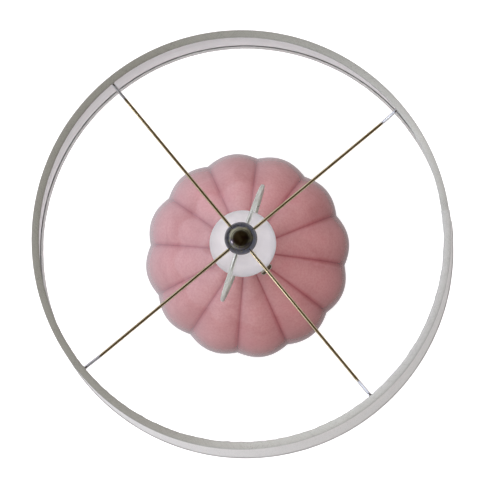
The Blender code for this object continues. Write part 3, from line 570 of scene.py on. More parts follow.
def refined(points, is_open, fillet, steps=4):
    """The outline with its slight bends smoothed and its sharp corners rounded."""
    count = len(points)

    def bend(place):
        before, here, after = (points[(place + shift) % count] for shift in (-1, 0, 1))
        return math.degrees((here - before).angle(after - here, 0.0))

    corners = [i for i in range(count) if (is_open and i in (0, count - 1)) or bend(i) > SHARP]
    spans = list(zip(corners, corners[1:]))
    if not is_open:
        spans.append((corners[-1], corners[0] + count))
    shaped = []
    for start, end in spans:
        run = smooth_through([points[i % count] for i in range(start, end + 1)], steps)
        shaped += [(point, i == 0) for i, point in enumerate(run[:-1])]
    if is_open:
        shaped.append((points[-1], True))
    total = len(shaped)
    outline = []
    for i, (corner, is_corner) in enumerate(shaped):
        if not is_corner or (is_open and i in (0, total - 1)):
            outline.append(corner)
            continue
        before, after = shaped[i - 1][0] - corner, shaped[(i + 1) % total][0] - corner
        reach = min(fillet, 0.3 * before.length, 0.3 * after.length)
        before, after = before.normalized() * reach, after.normalized() * reach
        outline.append(corner + before * 1.5)
        outline += [corner + before * (1 - t) ** 2 + after * t ** 2 for t in (0, 1 / 3, 2 / 3, 1)]
        outline.append(corner + after * 1.5)
    return outline


def divided(outline, is_open, longest, lower=-1.0, upper=9.0):
    """The outline with no step longer than this between two heights, so that a relief can form."""
    finer = []
    pairs = list(zip(outline, outline[1:] + ([] if is_open else outline[:1])))
    for start, end in pairs:
        chord = end - start
        levels = [level for level in (lower, upper) if min(start.y, end.y) < level < max(start.y, end.y)]
        cuts = sorted([0.0, 1.0, *[(level - start.y) / chord.y for level in levels]])
        for here, there in zip(cuts, cuts[1:]):
            inside = lower <= start.y + chord.y * (here + there) / 2 <= upper
            steps = math.ceil(chord.length * (there - here) / longest) if inside else 1
            finer += [start + chord * (here + (there - here) * step / steps) for step in range(steps)]
    return finer + ([outline[-1]] if is_open else [])


def faced_outwards(mesh):
    """The mesh with every face turned outwards and shaded smooth."""
    shell = bmesh.new()
    shell.from_mesh(mesh)
    bmesh.ops.recalc_face_normals(shell, faces=shell.faces)
    for face in shell.faces:
        face.smooth = True
    shell.to_mesh(mesh)
    shell.free()
    return mesh


def spun(name, outline, is_open, segments):
    """Turn an outline about Z into a closed mesh. A point on the axis becomes one vertex."""
    vertices, rings, faces = [], [], []
    for radius, height in outline:
        count = 1 if radius < TINY else segments
        turns = [math.tau * i / segments for i in range(count)]
        rings.append([len(vertices) + i % count for i in range(segments)])
        vertices += [(radius * math.cos(t), radius * math.sin(t), height) for t in turns]
    pairs = list(zip(rings, rings[1:])) + ([] if is_open else [(rings[-1], rings[0])])
    for lower, upper in pairs:
        for i in range(segments):
            j = (i + 1) % segments
            corners = list(dict.fromkeys((lower[i], lower[j], upper[j], upper[i])))
            if len(corners) > 2:
                faces.append(corners)
    mesh = bpy.data.meshes.new(name)
    mesh.from_pydata(vertices, [], faces)
    return faced_outwards(mesh)


outline, is_open = section_of("vase_cap")
print("vase cap outline:", len(outline), "points, then", len(refined(outline, is_open, 0.0003)))

# %% [markdown]
# ## From mesh to piece
# A finished mesh becomes a piece of the lamp here, in one place: it gets its finish, it rides on the
# body of the part that it stands for, and that part is hidden. A tool mesh can be cut from it or
# joined to it first with a Boolean modifier, whose result is taken as a plain mesh.

# %% Make a piece, and cut or join meshes
def linked(name, mesh):
    """An object for a mesh, in the scene."""
    made = bpy.data.objects.new(name, mesh)
    bpy.context.scene.collection.objects.link(made)
    return made


def evaluated_mesh(holder):
    """The plain mesh that an object's modifiers give. The object is removed."""
    bpy.context.view_layer.update()
    depsgraph = bpy.context.evaluated_depsgraph_get()
    mesh = bpy.data.meshes.new_from_object(holder.evaluated_get(depsgraph))
    bpy.data.objects.remove(holder, do_unlink=True)
    return mesh


def combined(mesh, tool, operation='DIFFERENCE'):
    """The mesh with the tool cut from it or joined to it."""
    holder, cutter = linked("work", mesh), linked("tool", tool)
    boolean = holder.modifiers.new("cut", 'BOOLEAN')
    boolean.operation = operation
    boolean.solver = 'EXACT'
    boolean.object = cutter
    result = evaluated_mesh(holder)
    bpy.data.objects.remove(cutter, do_unlink=True)
    return result


def crisp(mesh, angle=40.0):
    """Keep edges sharper than an angle crisp in a smooth-shaded mesh."""
    mesh.shade_smooth()
    mesh.set_sharp_from_angle(angle=math.radians(angle))
    return mesh


def piece(name, mesh, body, slot, *stands_for, finish=None):
    """A finished mesh as a piece of the lamp that moves with a body, in its slot's finish or another."""
    mesh.materials.clear()
    mesh.materials.append(FINISHES[finish or slot])
    made = linked(name, mesh)
    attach(made, body)
    if stands_for:
        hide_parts(*stands_for)
    return made


print("pieces can be made")

# %% [markdown]
# ## Relief by rule: threads and knurls
# A screw thread and a straight knurl are the same thing to Geometry Nodes: a wave pressed into a
# turned wall. Count how many waves go round and how many go up each metre. One round with many up is
# a thread, many round with none up is a knurl. The tree below works out the wave from each point's
# angle and height, fades it out at both ends, and moves the point towards the axis, so a thread never
# grows past the size of its part. Only the rolled shell of the holder is pressed the other way.

# %% The relief tree
def new_geometry_tree(name, inputs):
    """A Geometry Nodes tree with named inputs. Returns its adder and its inputs' sockets."""
    tree = bpy.data.node_groups.new(name, 'GeometryNodeTree')
    for way in ('OUTPUT', 'INPUT'):
        tree.interface.new_socket("Geometry", in_out=way, socket_type='NodeSocketGeometry')
    for label, default in inputs.items():
        kind = {int: 'NodeSocketInt', float: 'NodeSocketFloat'}.get(type(default), 'NodeSocketMaterial')
        made = tree.interface.new_socket(label, in_out='INPUT', socket_type=kind)
        if default is not None:
            made.default_value = default
    return partial(add_node, tree), tree.nodes.new("NodeGroupInput").outputs


def end_geometry_tree(add, geometry, finish):
    """Realize what was instanced, set its finish and hand it out. Returns the tree."""
    real = add("GeometryNodeRealizeInstances", {"Geometry": geometry})
    coated = add("GeometryNodeSetMaterial", {"Geometry": real, "Material": finish})
    return add("NodeGroupOutput", {"Geometry": coated}).id_data


def through_nodes(mesh, tree, **settings):
    """A mesh run through a tree, with the named inputs set, as a plain mesh."""
    holder = linked("work", mesh)
    modifier = holder.modifiers.new(tree.name, 'NODES')
    modifier.node_group = tree
    for item in tree.interface.items_tree:
        label = item.name.replace(" ", "_").lower()
        if item.in_out == 'INPUT' and label in settings:
            modifier[item.identifier] = settings[label]
    return evaluated_mesh(holder)


def polar_place(add):
    """A point's height, its level offset from the axis, its radius and its angle."""
    split = add("ShaderNodeSeparateXYZ", {"Vector": add("GeometryNodeInputPosition")})
    x, y, height = split.outputs
    offset = add("ShaderNodeCombineXYZ", {"X": x, "Y": y})
    radius = add("ShaderNodeVectorMath", {0: offset}, operation='LENGTH')
    angle = add("ShaderNodeMath", {0: y, 1: x}, operation='ARCTAN2')
    return height, offset, radius, angle


def pressed_tree(add, given, offset, depth):
    """End a tree by moving each point towards the axis by a depth."""
    outwards = add("ShaderNodeVectorMath", {0: offset}, operation='NORMALIZE')
    back = add("ShaderNodeMath", {0: depth, 1: -1.0}, operation='MULTIPLY')
    move = add("ShaderNodeVectorMath", {0: outwards, "Scale": back}, operation='SCALE')
    pressed = add("GeometryNodeSetPosition", {"Geometry": given["Geometry"], "Offset": move})
    return end_geometry_tree(add, pressed, given["Finish"])


def relief_tree():
    add, given = new_geometry_tree("pressed relief", {
        "Waves Round": 1, "Waves Per Metre": 1000.0, "Depth": 0.0005, "Bottom": 0.0, "Top": 1.0,
        "Fade": 0.001, "Least Radius": 0.0, "Finish": None})
    height, offset, radius, angle = polar_place(add)
    turn = add("ShaderNodeMath", {0: angle, 1: math.tau}, operation='DIVIDE')
    round_waves = add("ShaderNodeMath", {0: turn, 1: given["Waves Round"]}, operation='MULTIPLY')
    phase = add("ShaderNodeMath", {0: height, 1: given["Waves Per Metre"], 2: round_waves},
                operation='MULTIPLY_ADD')
    saw = add("ShaderNodeMath", {0: phase, 1: 0.5}, operation='PINGPONG')
    wave = add("ShaderNodeMapRange", {"Value": saw, "From Max": 0.5}, interpolation_type='SMOOTHSTEP')
    outside = add("ShaderNodeMath", {0: radius, 1: given["Least Radius"]}, operation='GREATER_THAN')
    amount = add("ShaderNodeMath", {0: wave, 1: outside}, operation='MULTIPLY')
    for upper, lower in ((height, given["Bottom"]), (given["Top"], height)):
        room_left = add("ShaderNodeMath", {0: upper, 1: lower}, operation='SUBTRACT')
        fade = add("ShaderNodeMath", {0: room_left, 1: given["Fade"]}, operation='DIVIDE',
                   use_clamp=True)
        amount = add("ShaderNodeMath", {0: amount, 1: fade}, operation='MULTIPLY')
    depth = add("ShaderNodeMath", {0: amount, 1: given["Depth"]}, operation='MULTIPLY')
    return pressed_tree(add, given, offset, depth)


RELIEF = relief_tree()
print("relief inputs:", [item.name for item in RELIEF.interface.items_tree if item.in_out == 'INPUT'])

# %% [markdown]
# ## The ceramic body
# The body is the main piece, and its shape follows a rule: the crest line is turned, and each point is
# then drawn in towards the axis by how far it stands from a crest. The distance is one minus the
# absolute cosine of six times the angle. That gives twelve plump ribs with sharp creases, as a mould's
# parting ridges leave them. The tree keeps the rib count, the depth at the axis and the depth gained
# with radius as inputs. The ribs die out above the foot ring and round the bore, so both stay round.

# %% The ribbed body
BODY_SEGMENTS = RIBS * 20
GROOVE_DEPTH = 0.0020
GROOVE_GAIN = 0.030
FOOT_CLEAR = (0.005, 0.025)                 # heights between which the ribs grow from the foot
BORE_CLEAR = (0.012, 0.020)                 # radii between which they grow from the bore


def ribs_tree():
    add, given = new_geometry_tree("pressed ribs", {
        "Ribs": RIBS, "Groove Depth": GROOVE_DEPTH, "Groove Gain": GROOVE_GAIN, "Finish": None})
    height, offset, radius, angle = polar_place(add)
    half_ribs = add("ShaderNodeMath", {0: given["Ribs"], 1: 2.0}, operation='DIVIDE')
    swing = add("ShaderNodeMath", {0: angle, 1: half_ribs}, operation='MULTIPLY')
    wave = add("ShaderNodeMath", {0: swing}, operation='COSINE')
    crest = add("ShaderNodeMath", {0: wave}, operation='ABSOLUTE')
    off_crest = add("ShaderNodeMath", {0: 1.0, 1: crest}, operation='SUBTRACT')
    depth = add("ShaderNodeMath", {0: radius, 1: given["Groove Gain"], 2: given["Groove Depth"]},
                operation='MULTIPLY_ADD')
    amount = add("ShaderNodeMath", {0: depth, 1: off_crest}, operation='MULTIPLY')
    for value, (start, end) in ((height, FOOT_CLEAR), (radius, BORE_CLEAR)):
        grown = add("ShaderNodeMapRange", {"Value": value, "From Min": start, "From Max": end})
        amount = add("ShaderNodeMath", {0: amount, 1: grown}, operation='MULTIPLY')
    return pressed_tree(add, given, offset, amount)


def facing(direction, point):
    """The placing that turns +Z to a direction and moves the origin to a point."""
    turn = Vector(direction).to_track_quat('Z', 'Y').to_matrix().to_4x4()
    return Matrix.Translation(point) @ turn


def cylinder(radius, depth, place, segments=48):
    """A cylinder mesh that starts at a place's origin and runs up its Z."""
    mesh = bpy.data.meshes.new("cylinder")
    shell = bmesh.new()
    bmesh.ops.create_cone(shell, cap_ends=True, segments=segments, radius1=radius, radius2=radius,
                          depth=depth, matrix=place @ Matrix.Translation((0, 0, depth / 2)))
    shell.to_mesh(mesh)
    shell.free()
    return mesh


def flat_axis(node):
    """The placing whose Z is the axis of a flanged part, read from its largest flat face."""
    shell = bmesh.new()
    shell.from_mesh(NODES[node].data)
    bmesh.ops.remove_doubles(shell, verts=shell.verts, dist=TINY)
    areas = {}
    for face in shell.faces:
        facing_way = tuple(round(part, 3) for part in face.normal)
        areas[facing_way] = areas.get(facing_way, 0.0) + face.calc_area()
    middle = sum((vertex.co for vertex in shell.verts), Vector()) / len(shell.verts)
    shell.free()
    away = [way for way in areas if Vector(way).dot(middle * Vector((1, 1, 0))) > 0]
    return facing(Vector(max(away, key=areas.get)).normalized(), middle)


turn_to_rib = Matrix.Rotation(math.radians(RIB_ANGLE), 4, 'Z')
outline, is_open = section_of("ceramic_base", turn_to_rib)
RIBS_RULE = ribs_tree()
cord_exit = flat_axis("cord_grommet")
flange = section_of("cord_grommet", cord_exit)[0]
flange_radius = max(point.x for point in flange)
seat_height = min(point.y for point in flange if point.x > flange_radius - 0.0001)
bush_radius = sorted({round(point.x, 5) for point in flange})[1]

turned_body = spun("ribbed_body", refined(outline, is_open, 0.0012, 7), is_open, BODY_SEGMENTS)
ribbed = through_nodes(turned_body, RIBS_RULE, finish=FINISHES["pink_glaze"])
ribbed.transform(turn_to_rib)
spot_face = cylinder(flange_radius + 0.0008, 0.010,
                     cord_exit @ Matrix.Translation((0, 0, seat_height - 0.0003)))
outlet = cylinder(bush_radius + 0.0005, 0.030, cord_exit @ Matrix.Translation((0, 0, -0.020)))
ribbed = combined(combined(ribbed, spot_face), outlet)
piece("ribbed_body", crisp(ribbed), "lamp_base", "pink_glaze", "ceramic_base")
print(len(ribbed.polygons), "faces in the ribbed body; bush radius", round(bush_radius * 1000, 2))

# %% [markdown]
# ## The turned hardware
# The cap, neck tube, check ring, holder, bulb, finial and the rest of the turned parts go through the
# same three steps in one loop: read the outline, refine it, turn it. Each row gives how far its
# corners are rounded, in millimetres, and how many facets go round. Small parts that lie across the
# lamp are turned about their own axis and then placed.

# %% Turn the plain parts
HARP_ANGLE = 70.4                           # degrees, the upright plane that the harp stands in
SWITCH_ANGLE = 315.0                        # degrees, the way the switch's knob points
knob_low, knob_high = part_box("switch_knob")
SWITCH_HEIGHT = (knob_low.z + knob_high.z) / 2


def outwards(angle):
    """The level unit direction at an angle round the lamp."""
    return Vector((math.cos(math.radians(angle)), math.sin(math.radians(angle)), 0))


def turned(node, fillet, segments, place=Matrix(), finest=None, reliefs=()):
    """A fine mesh of a turned part, in place, with any reliefs pressed into it."""
    outline, is_open = section_of(node, place)
    outline = refined(outline, is_open, fillet / 1000)
    if finest:
        lower = min(relief["bottom"] for relief in reliefs)
        upper = max(relief["top"] for relief in reliefs)
        outline = divided(outline, is_open, finest, lower, upper)
    mesh = spun(node, outline, is_open, segments)
    for relief in reliefs:
        mesh = through_nodes(mesh, RELIEF, finish=FINISHES[SLOT_OF[node]], **relief)
    mesh.transform(place)
    return mesh


def turned_piece(node, *shape, **options):
    """A turned part as a piece that stands for its packed one."""
    mesh = turned(node, *shape, **options)
    return piece(f"{node}_turned", mesh, BODY_OF[node], SLOT_OF[node], node)


PLAIN = {
    "base_washer": (0.2, 96), "vase_cap": (0.35, 128), "neck_tube": (0.4, 96),
    "bulb_globe": (0.3, 128), "bulb_housing": (0.3, 128),
    "bulb_led_plate": (0.2, 96), "bulb_insulator": (0.2, 64), "bulb_contact": (0.4, 48),
    "spider_hub": (0.35, 96), "finial_ball": (0.25, 160), "shade_liner": (0.1, 256)}
ACROSS = {
    "switch_rotor": (SWITCH_ANGLE, 0.2, 48), "switch_stem": (SWITCH_ANGLE, 0.2, 48),
    "terminal_screw_brass": (SWITCH_ANGLE + 90, 0.2, 48),
    "terminal_screw_silver": (SWITCH_ANGLE - 90, 0.2, 48)}

for node, shape in PLAIN.items():
    turned_piece(node, *shape)
turned_piece("cord_grommet", 0.3, 64, place=cord_exit)
for node, (angle, fillet, segments) in ACROSS.items():
    turned_piece(node, fillet, segments, place=facing(outwards(angle), (0, 0, SWITCH_HEIGHT)))
print(len(PLAIN) + len(ACROSS) + 1, "parts turned")

# %% [markdown]
# The threaded and knurled parts add a relief. The pipe and the harp's stud have the fine threads that
# lamp hardware uses, 27 to the inch. The bulb's cap and the shell it turns in are rolled sheet, with
# the coarse round thread of a medium base, 7 to the inch. The check ring, the ferrules and the foot of
# the finial are knurled for the fingers.

# %% Press the threads and knurls
PIPE_THREAD = 27 / 0.0254                   # threads in a metre
BULB_THREAD = 7 / 0.0254
KNURL_FADE = 0.0006


def relief(bottom, top, waves_round, waves_per_metre, depth, least_radius=0.0, fade=0.0009):
    """The named inputs of a relief between two heights."""
    return {"waves_round": waves_round, "waves_per_metre": waves_per_metre, "depth": depth,
            "bottom": bottom, "top": top, "fade": fade, "least_radius": least_radius}


def relief_piece(node, fillet, segments, finest, *shape, place=Matrix()):
    """A turned piece with one relief pressed into it."""
    return turned_piece(node, fillet, segments, place=place, finest=finest, reliefs=[relief(*shape)])


def threaded_parts():
    low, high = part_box("threaded_pipe")
    relief_piece("threaded_pipe", 0.3, 48, 0.00016, low.z, low.z + 0.026, -1, PIPE_THREAD, 0.0005, 0.0042)
    low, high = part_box("harp_stud")
    relief_piece("harp_stud", 0.3, 48, 0.00014, low.z + 0.0034, high.z, -1, PIPE_THREAD, 0.0005)
    low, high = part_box("bulb_screw_cap")
    relief_piece("bulb_screw_cap", 0.2, 96, 0.0004, low.z + 0.0022, high.z - 0.0022, -1, BULB_THREAD,
                 0.0009, 0.0095, 0.0016)
    low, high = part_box("screw_shell")
    relief_piece("screw_shell", 0.1, 96, 0.0005, low.z + 0.0010, high.z, -1, BULB_THREAD, -0.0006,
                 0.0125, 0.0016)


def knurled_parts():
    low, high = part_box("check_ring")
    relief_piece("check_ring", 0.3, 432, 0.0006, low.z + 0.0008, high.z - 0.0008, 54, 0.0, 0.00035,
                 0.0085, KNURL_FADE)
    low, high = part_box("finial_base")
    relief_piece("finial_base", 0.3, 288, 0.0006, low.z + 0.0002, low.z + 0.0021, 36, 0.0, 0.00035,
                 0.0075, KNURL_FADE)
    for side in ("left", "right"):
        low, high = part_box(f"ferrule_{side}")
        foot = Matrix.Translation(((low.x + high.x) / 2, (low.y + high.y) / 2, low.z))
        relief_piece(f"ferrule_{side}", 0.3, 192, 0.0006, 0.0010, 0.0040, 24, 0.0, 0.00025, 0.0039,
                     KNURL_FADE, place=foot)


threaded_parts()
knurled_parts()
print(f"pipe thread {1000 / PIPE_THREAD:.2f} mm, bulb thread {1000 / BULB_THREAD:.2f} mm apart")

# %% [markdown]
# ## The lamp holder
# The holder is a spun cap and a drawn shell that snap together, with a card sleeve inside. The shell
# is notched for the switch's stem, and a small screw through the side of the cap locks it to the pipe.
# Three rolled rings stiffen the shell near its lip, and they are the same relief with no waves round.
# The notch has the stem's width, and runs down to the shell's lower edge so that the shell can lift
# away. The sleeve is notched to match.

# %% Cap, shell and sleeve
def turned_box(size, angle, distance, height):
    """A box mesh centred at a distance from the axis, turned about it."""
    mesh = bpy.data.meshes.new("box")
    shell = bmesh.new()
    bmesh.ops.create_cube(shell, size=1.0)
    shell.transform(Matrix.Rotation(math.radians(angle), 4, 'Z')
                    @ Matrix.Translation((distance, 0, height)) @ Matrix.Diagonal((*size, 1.0)))
    shell.to_mesh(mesh)
    shell.free()
    return mesh


def notched(mesh):
    """A sleeve with the notch that the switch's stem passes through, round at its top."""
    width, depth, reach = 0.0086, 0.010, 0.040
    mesh = combined(mesh, turned_box((depth, width, reach), SWITCH_ANGLE, 0.015,
                                     SWITCH_HEIGHT + 0.0002 - reach / 2))
    stem = facing(outwards(SWITCH_ANGLE), outwards(SWITCH_ANGLE) * 0.010
                  + Vector((0, 0, SWITCH_HEIGHT + 0.0002)))
    return combined(mesh, cylinder(width / 2, depth, stem))


def holder():
    low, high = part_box("socket_shell")
    spacing = 0.0022
    rings = relief(high.z - 0.0088, high.z - spacing, 0, 1 / spacing, 0.00022, 0.0158, KNURL_FADE)
    shell = notched(turned("socket_shell", 0.25, 128, finest=0.0002, reliefs=[rings]))
    piece("socket_shell_drawn", crisp(shell), "lamp_base", "nickel_plate", "socket_shell")
    sleeve = notched(turned("socket_liner", 0.1, 96))
    piece("socket_sleeve", crisp(sleeve), "lamp_base", "vulcanised_fibre", "socket_liner")
    screw_low, screw_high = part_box("cap_set_screw")
    across = outwards(HARP_ANGLE + 90)
    middle = Vector((0, 0, (screw_low.z + screw_high.z) / 2))
    cap = combined(turned("socket_cap", 0.3, 128),
                   cylinder(0.0014, 0.030, facing(across, across * 0.0045 + middle)))
    piece("socket_cap_spun", crisp(cap), "lamp_base", "nickel_plate", "socket_cap")
    screw = turned("cap_set_screw", 0.15, 48, place=facing(across, middle))
    slot = turned_box((0.0014, 0.0006, 0.006), HARP_ANGLE + 90, 0.0100, middle.z)
    piece("cap_lock_screw", crisp(combined(screw, slot)), "lamp_base", "zinc_steel", "cap_set_screw")


holder()
print("holder notched at", SWITCH_ANGLE, "degrees")

# %% [markdown]
# ## Bent wire
# The harp, the four arms of the spider and the two rings of the shade are round wire. The rings are
# turned. The rest lie in upright planes, so a bent wire here is a list of distances from the axis and
# heights, drawn into a smooth curve and swept with a circle. Its ends are rounded off like a tumbled
# cut.

# %% Sweep a wire
def bent_wire(name, path, angle, radius, sides=20, nose=0.0004):
    """A closed wire along (distance, height) points in the upright plane at an angle."""
    out, across = outwards(angle), outwards(angle + 90)
    last = len(path) - 1
    leads = [(path[min(i + 1, last)] - path[max(i - 1, 0)]).normalized() for i in range(last + 1)]
    first_lead, last_lead = leads[0] * nose, leads[-1] * nose
    points = [path[0], path[0] + first_lead * 0.3, path[0] + first_lead, *path[1:-1],
              path[-1] - last_lead, path[-1] - last_lead * 0.3, path[-1]]
    leads = [leads[0]] * 2 + leads + [leads[-1]] * 2
    radii = [radius - nose, radius - nose * 0.3, *[radius] * len(path), radius - nose * 0.3,
             radius - nose]
    vertices, faces = [], []
    for point, lead, thick in zip(points, leads, radii):
        level = Vector((-lead.y, lead.x))
        for i in range(sides):
            turn = math.tau * i / sides
            flat = point + level * thick * math.cos(turn)
            vertices.append(out * flat.x + Vector((0, 0, flat.y)) + across * thick * math.sin(turn))
    for ring in range(len(points) - 1):
        for i in range(sides):
            j = (i + 1) % sides
            base = ring * sides
            faces.append((base + i, base + j, base + sides + j, base + sides + i))
    faces += [tuple(range(sides)), tuple(range(len(vertices) - sides, len(vertices)))]
    mesh = bpy.data.meshes.new(name)
    mesh.from_pydata(vertices, [], faces)
    return faced_outwards(mesh)


def filleted(points, bend_radius, steps=6):
    """Points of a wire path whose corners are bent round a former."""
    path = [points[0]]
    for before, here, after in zip(points, points[1:], points[2:]):
        into, onward = before - here, after - here
        reach = min(bend_radius, 0.48 * into.length, 0.48 * onward.length)
        into, onward = into.normalized() * reach, onward.normalized() * reach
        path += [here + into * (1 - t) ** 2 + onward * t ** 2 for t in
                 (step / steps for step in range(steps + 1))]
    return [*path, points[-1]]


print("wire can be bent")

# %% [markdown]
# ## The harp
# The harp is stiff plated wire bent to a pear-shaped loop round the bulb. Its feet drop into two cups
# on the saddle, and a ferrule slides down over each joint to lock it. The crown of the loop carries a
# threaded stud with a flange, which the shade's hub rests on. The saddle is a steel strip with its
# ends turned up, clamped on the pipe under the holder.

# %% Harp and saddle
HARP_LEG = (sum(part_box("ferrule_left"), Vector()) / 2).xy.length
HARP_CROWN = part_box("harp_wire")[1].z
HARP_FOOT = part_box("harp_wire")[0].z
HARP_WIRE = 0.0019
LEG_STATIONS = (0.3040, 0.3195)             # heights on the straight leg, where the bow begins
HARP_BOW = [(0.0300, 0.3410), (0.0430, 0.3670), (0.0515, 0.3950), (0.0535, 0.4200),
            (0.0470, 0.4460), (0.0310, 0.4670), (0.0120, 0.4776)]
SADDLE_STEEL, SADDLE_WIDTH, SADDLE_RISE, SADDLE_FLAT = 0.0020, 0.0110, 0.0040, 0.0130
CUP_RADIUS, CUP_BORE, CUP_MARGIN = 0.0030, 0.0022, 0.0022
PIPE_HOLE = 0.0053


def harp():
    leg = [Vector((HARP_LEG, height)) for height in (HARP_FOOT, *LEG_STATIONS)]
    side = [leg[-1], *map(Vector, HARP_BOW)]
    other = [Vector((-point.x, point.y)) for point in reversed(side)]
    bow = smooth_through([*side, Vector((0.0, HARP_CROWN - HARP_WIRE)), *other], 8)
    path = [*leg[:2], *bow, *(Vector((-point.x, point.y)) for point in reversed(leg[:2]))]
    mesh = bent_wire("harp", path, HARP_ANGLE, HARP_WIRE, sides=28)
    piece("harp_loop", mesh, "harp", "nickel_plate", "harp_wire", finish="satin_nickel")
    return len(mesh.polygons)


def extruded(name, outline, thickness, bevel):
    """A flat (x, y) outline with half the thickness each side of it, its rims bevelled."""
    mesh = bpy.data.meshes.new(name)
    count = len(outline)
    vertices = [(x, y, z) for z in (-thickness / 2, thickness / 2) for x, y in outline]
    faces = [tuple(range(count)), tuple(range(count, 2 * count))]
    faces += [(i, (i + 1) % count, count + (i + 1) % count, count + i) for i in range(count)]
    mesh.from_pydata(vertices, [], faces)
    holder = linked("work", faced_outwards(mesh))
    softened = holder.modifiers.new("bevel", 'BEVEL')
    softened.width, softened.segments = bevel, 3
    softened.limit_method, softened.angle_limit = 'ANGLE', math.radians(50)
    return evaluated_mesh(holder)


def saddle():
    low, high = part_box("harp_saddle")
    base, end = low.z, HARP_LEG + CUP_MARGIN
    lower = filleted([Vector((-end, base + SADDLE_RISE)), Vector((-SADDLE_FLAT, base)),
                      Vector((SADDLE_FLAT, base)), Vector((end, base + SADDLE_RISE))], 0.004)
    outline = lower + [Vector((point.x, point.y + SADDLE_STEEL)) for point in reversed(lower)]
    strip = extruded("saddle", outline, SADDLE_WIDTH, 0.0003)
    strip.transform(Matrix.Rotation(math.radians(HARP_ANGLE), 4, 'Z')
                    @ Matrix.Rotation(math.radians(90), 4, 'X'))
    strip = combined(strip, cylinder(PIPE_HOLE, 0.010, Matrix.Translation((0, 0, base - 0.004))))
    cup_bottom = base + SADDLE_RISE - 0.0006
    for radius, bottom, depth, operation in (
            (CUP_RADIUS, cup_bottom, high.z - cup_bottom, 'UNION'),
            (CUP_BORE, HARP_FOOT - 0.0003, 0.020, 'DIFFERENCE')):
        for angle in (HARP_ANGLE, HARP_ANGLE + 180):
            stand = Matrix.Translation(outwards(angle) * HARP_LEG + Vector((0, 0, bottom)))
            strip = combined(strip, cylinder(radius, depth, stand), operation)
    piece("saddle_strip", crisp(strip, 35), "lamp_base", "zinc_steel", "harp_saddle")


print("harp", harp(), "faces")
saddle()

# %% [markdown]
# ## The nut and the knob
# A chamfered hexagon nut clamps the pipe under the ceramic floor. The knob is a small flat paddle on a
# sleeve, which slips on the switch's stem: a lozenge of plated metal, rounded all over for the
# fingertips.

# %% Nut and knob
NUT_CHAMFER = (0.0022, 0.0012)              # across a face and down an edge
PADDLE_WIDTH, PADDLE_DEPTH, PADDLE_THICKNESS = 0.0126, 0.0054, 0.0026
PADDLE_START = 0.0265                       # from the lamp's axis


def nut():
    low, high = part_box("base_nut")
    radius = (high.x - low.x) / 2
    hexagon = cylinder(radius, high.z - low.z, Matrix.Translation((0, 0, low.z)), 6)
    rim, face = radius + 0.0002, radius - NUT_CHAMFER[0]
    chamfer = spun("chamfer", [Vector(point) for point in [
        (0, high.z + 0.001), (face, high.z + 0.001), (rim, high.z - NUT_CHAMFER[1]),
        (rim, low.z + NUT_CHAMFER[1]), (face, low.z - 0.001), (0, low.z - 0.001)]], True, 96)
    shaped = combined(hexagon, chamfer, 'INTERSECT')
    shaped = combined(shaped, cylinder(PIPE_HOLE, 0.02, Matrix.Translation((0, 0, low.z - 0.008))))
    piece("hexagon_nut", crisp(shaped, 25), "lamp_base", "zinc_steel", "base_nut")


def knob():
    half, corner = PADDLE_WIDTH / 2, PADDLE_DEPTH / 2
    turns = [math.radians(-90 + 180 * step / 16) for step in range(17)]
    right = [(half - corner + corner * math.cos(t), corner * math.sin(t)) for t in turns]
    paddle = extruded("knob", right + [(-x, -y) for x, y in right], PADDLE_THICKNESS, 0.0006)
    paddle.transform(Matrix.Rotation(math.radians(SWITCH_ANGLE - 90), 4, 'Z')
                     @ Matrix.Translation((0, PADDLE_START + corner, SWITCH_HEIGHT)))
    along, level = outwards(SWITCH_ANGLE), Vector((0, 0, SWITCH_HEIGHT))
    sleeve = cylinder(0.0032, 0.0052, facing(along, along * (PADDLE_START - 0.0042) + level))
    bore = cylinder(0.0021, 0.0100, facing(along, along * (PADDLE_START - 0.0100) + level))
    whole = combined(combined(paddle, sleeve, 'UNION'), bore)
    piece("knob_paddle", crisp(whole, 35), "switch", "nickel_plate", "switch_knob")


nut()
knob()
print("nut and knob made")

# %% [markdown]
# ## Inside the bulb
# Under the frosted globe sits an aluminium plate with a ring of light-emitting diodes. Each is a white
# package with a yellow phosphor window. They repeat round a circle, so a tree makes them: a mesh
# circle gives the points, and one box is instanced on each, turned to face the middle.

# %% Diode packages
def round_the_axis(add, given, instance, first_angle=None):
    """Instances on a level circle about the axis, each turned to face away from it."""
    ring = add("GeometryNodeMeshCircle", {"Vertices": given["Count"], "Radius": given["Ring Radius"]})
    up = add("ShaderNodeCombineXYZ", {"Z": given["Height"]})
    placing = {"Geometry": ring, "Translation": up}
    if first_angle:
        placing["Rotation"] = add("ShaderNodeCombineXYZ", {"Z": first_angle})
    points = add("GeometryNodeTransform", placing)
    turn = add("FunctionNodeAlignEulerToVector", {"Vector": add("GeometryNodeInputPosition")}, axis='X',
               pivot_axis='Z')
    return add("GeometryNodeInstanceOnPoints", {"Points": points, "Instance": instance,
                                                "Rotation": turn})


def diode_tree():
    add, given = new_geometry_tree("ring of packages", {
        "Count": 12, "Ring Radius": 0.015, "Height": 0.0, "Width": 0.0028, "Thickness": 0.0007,
        "Finish": None})
    size = add("ShaderNodeCombineXYZ", {"X": given["Width"], "Y": given["Width"],
                                        "Z": given["Thickness"]})
    package = add("GeometryNodeMeshCube", {"Size": size})
    return end_geometry_tree(add, round_the_axis(add, given, package), given["Finish"])


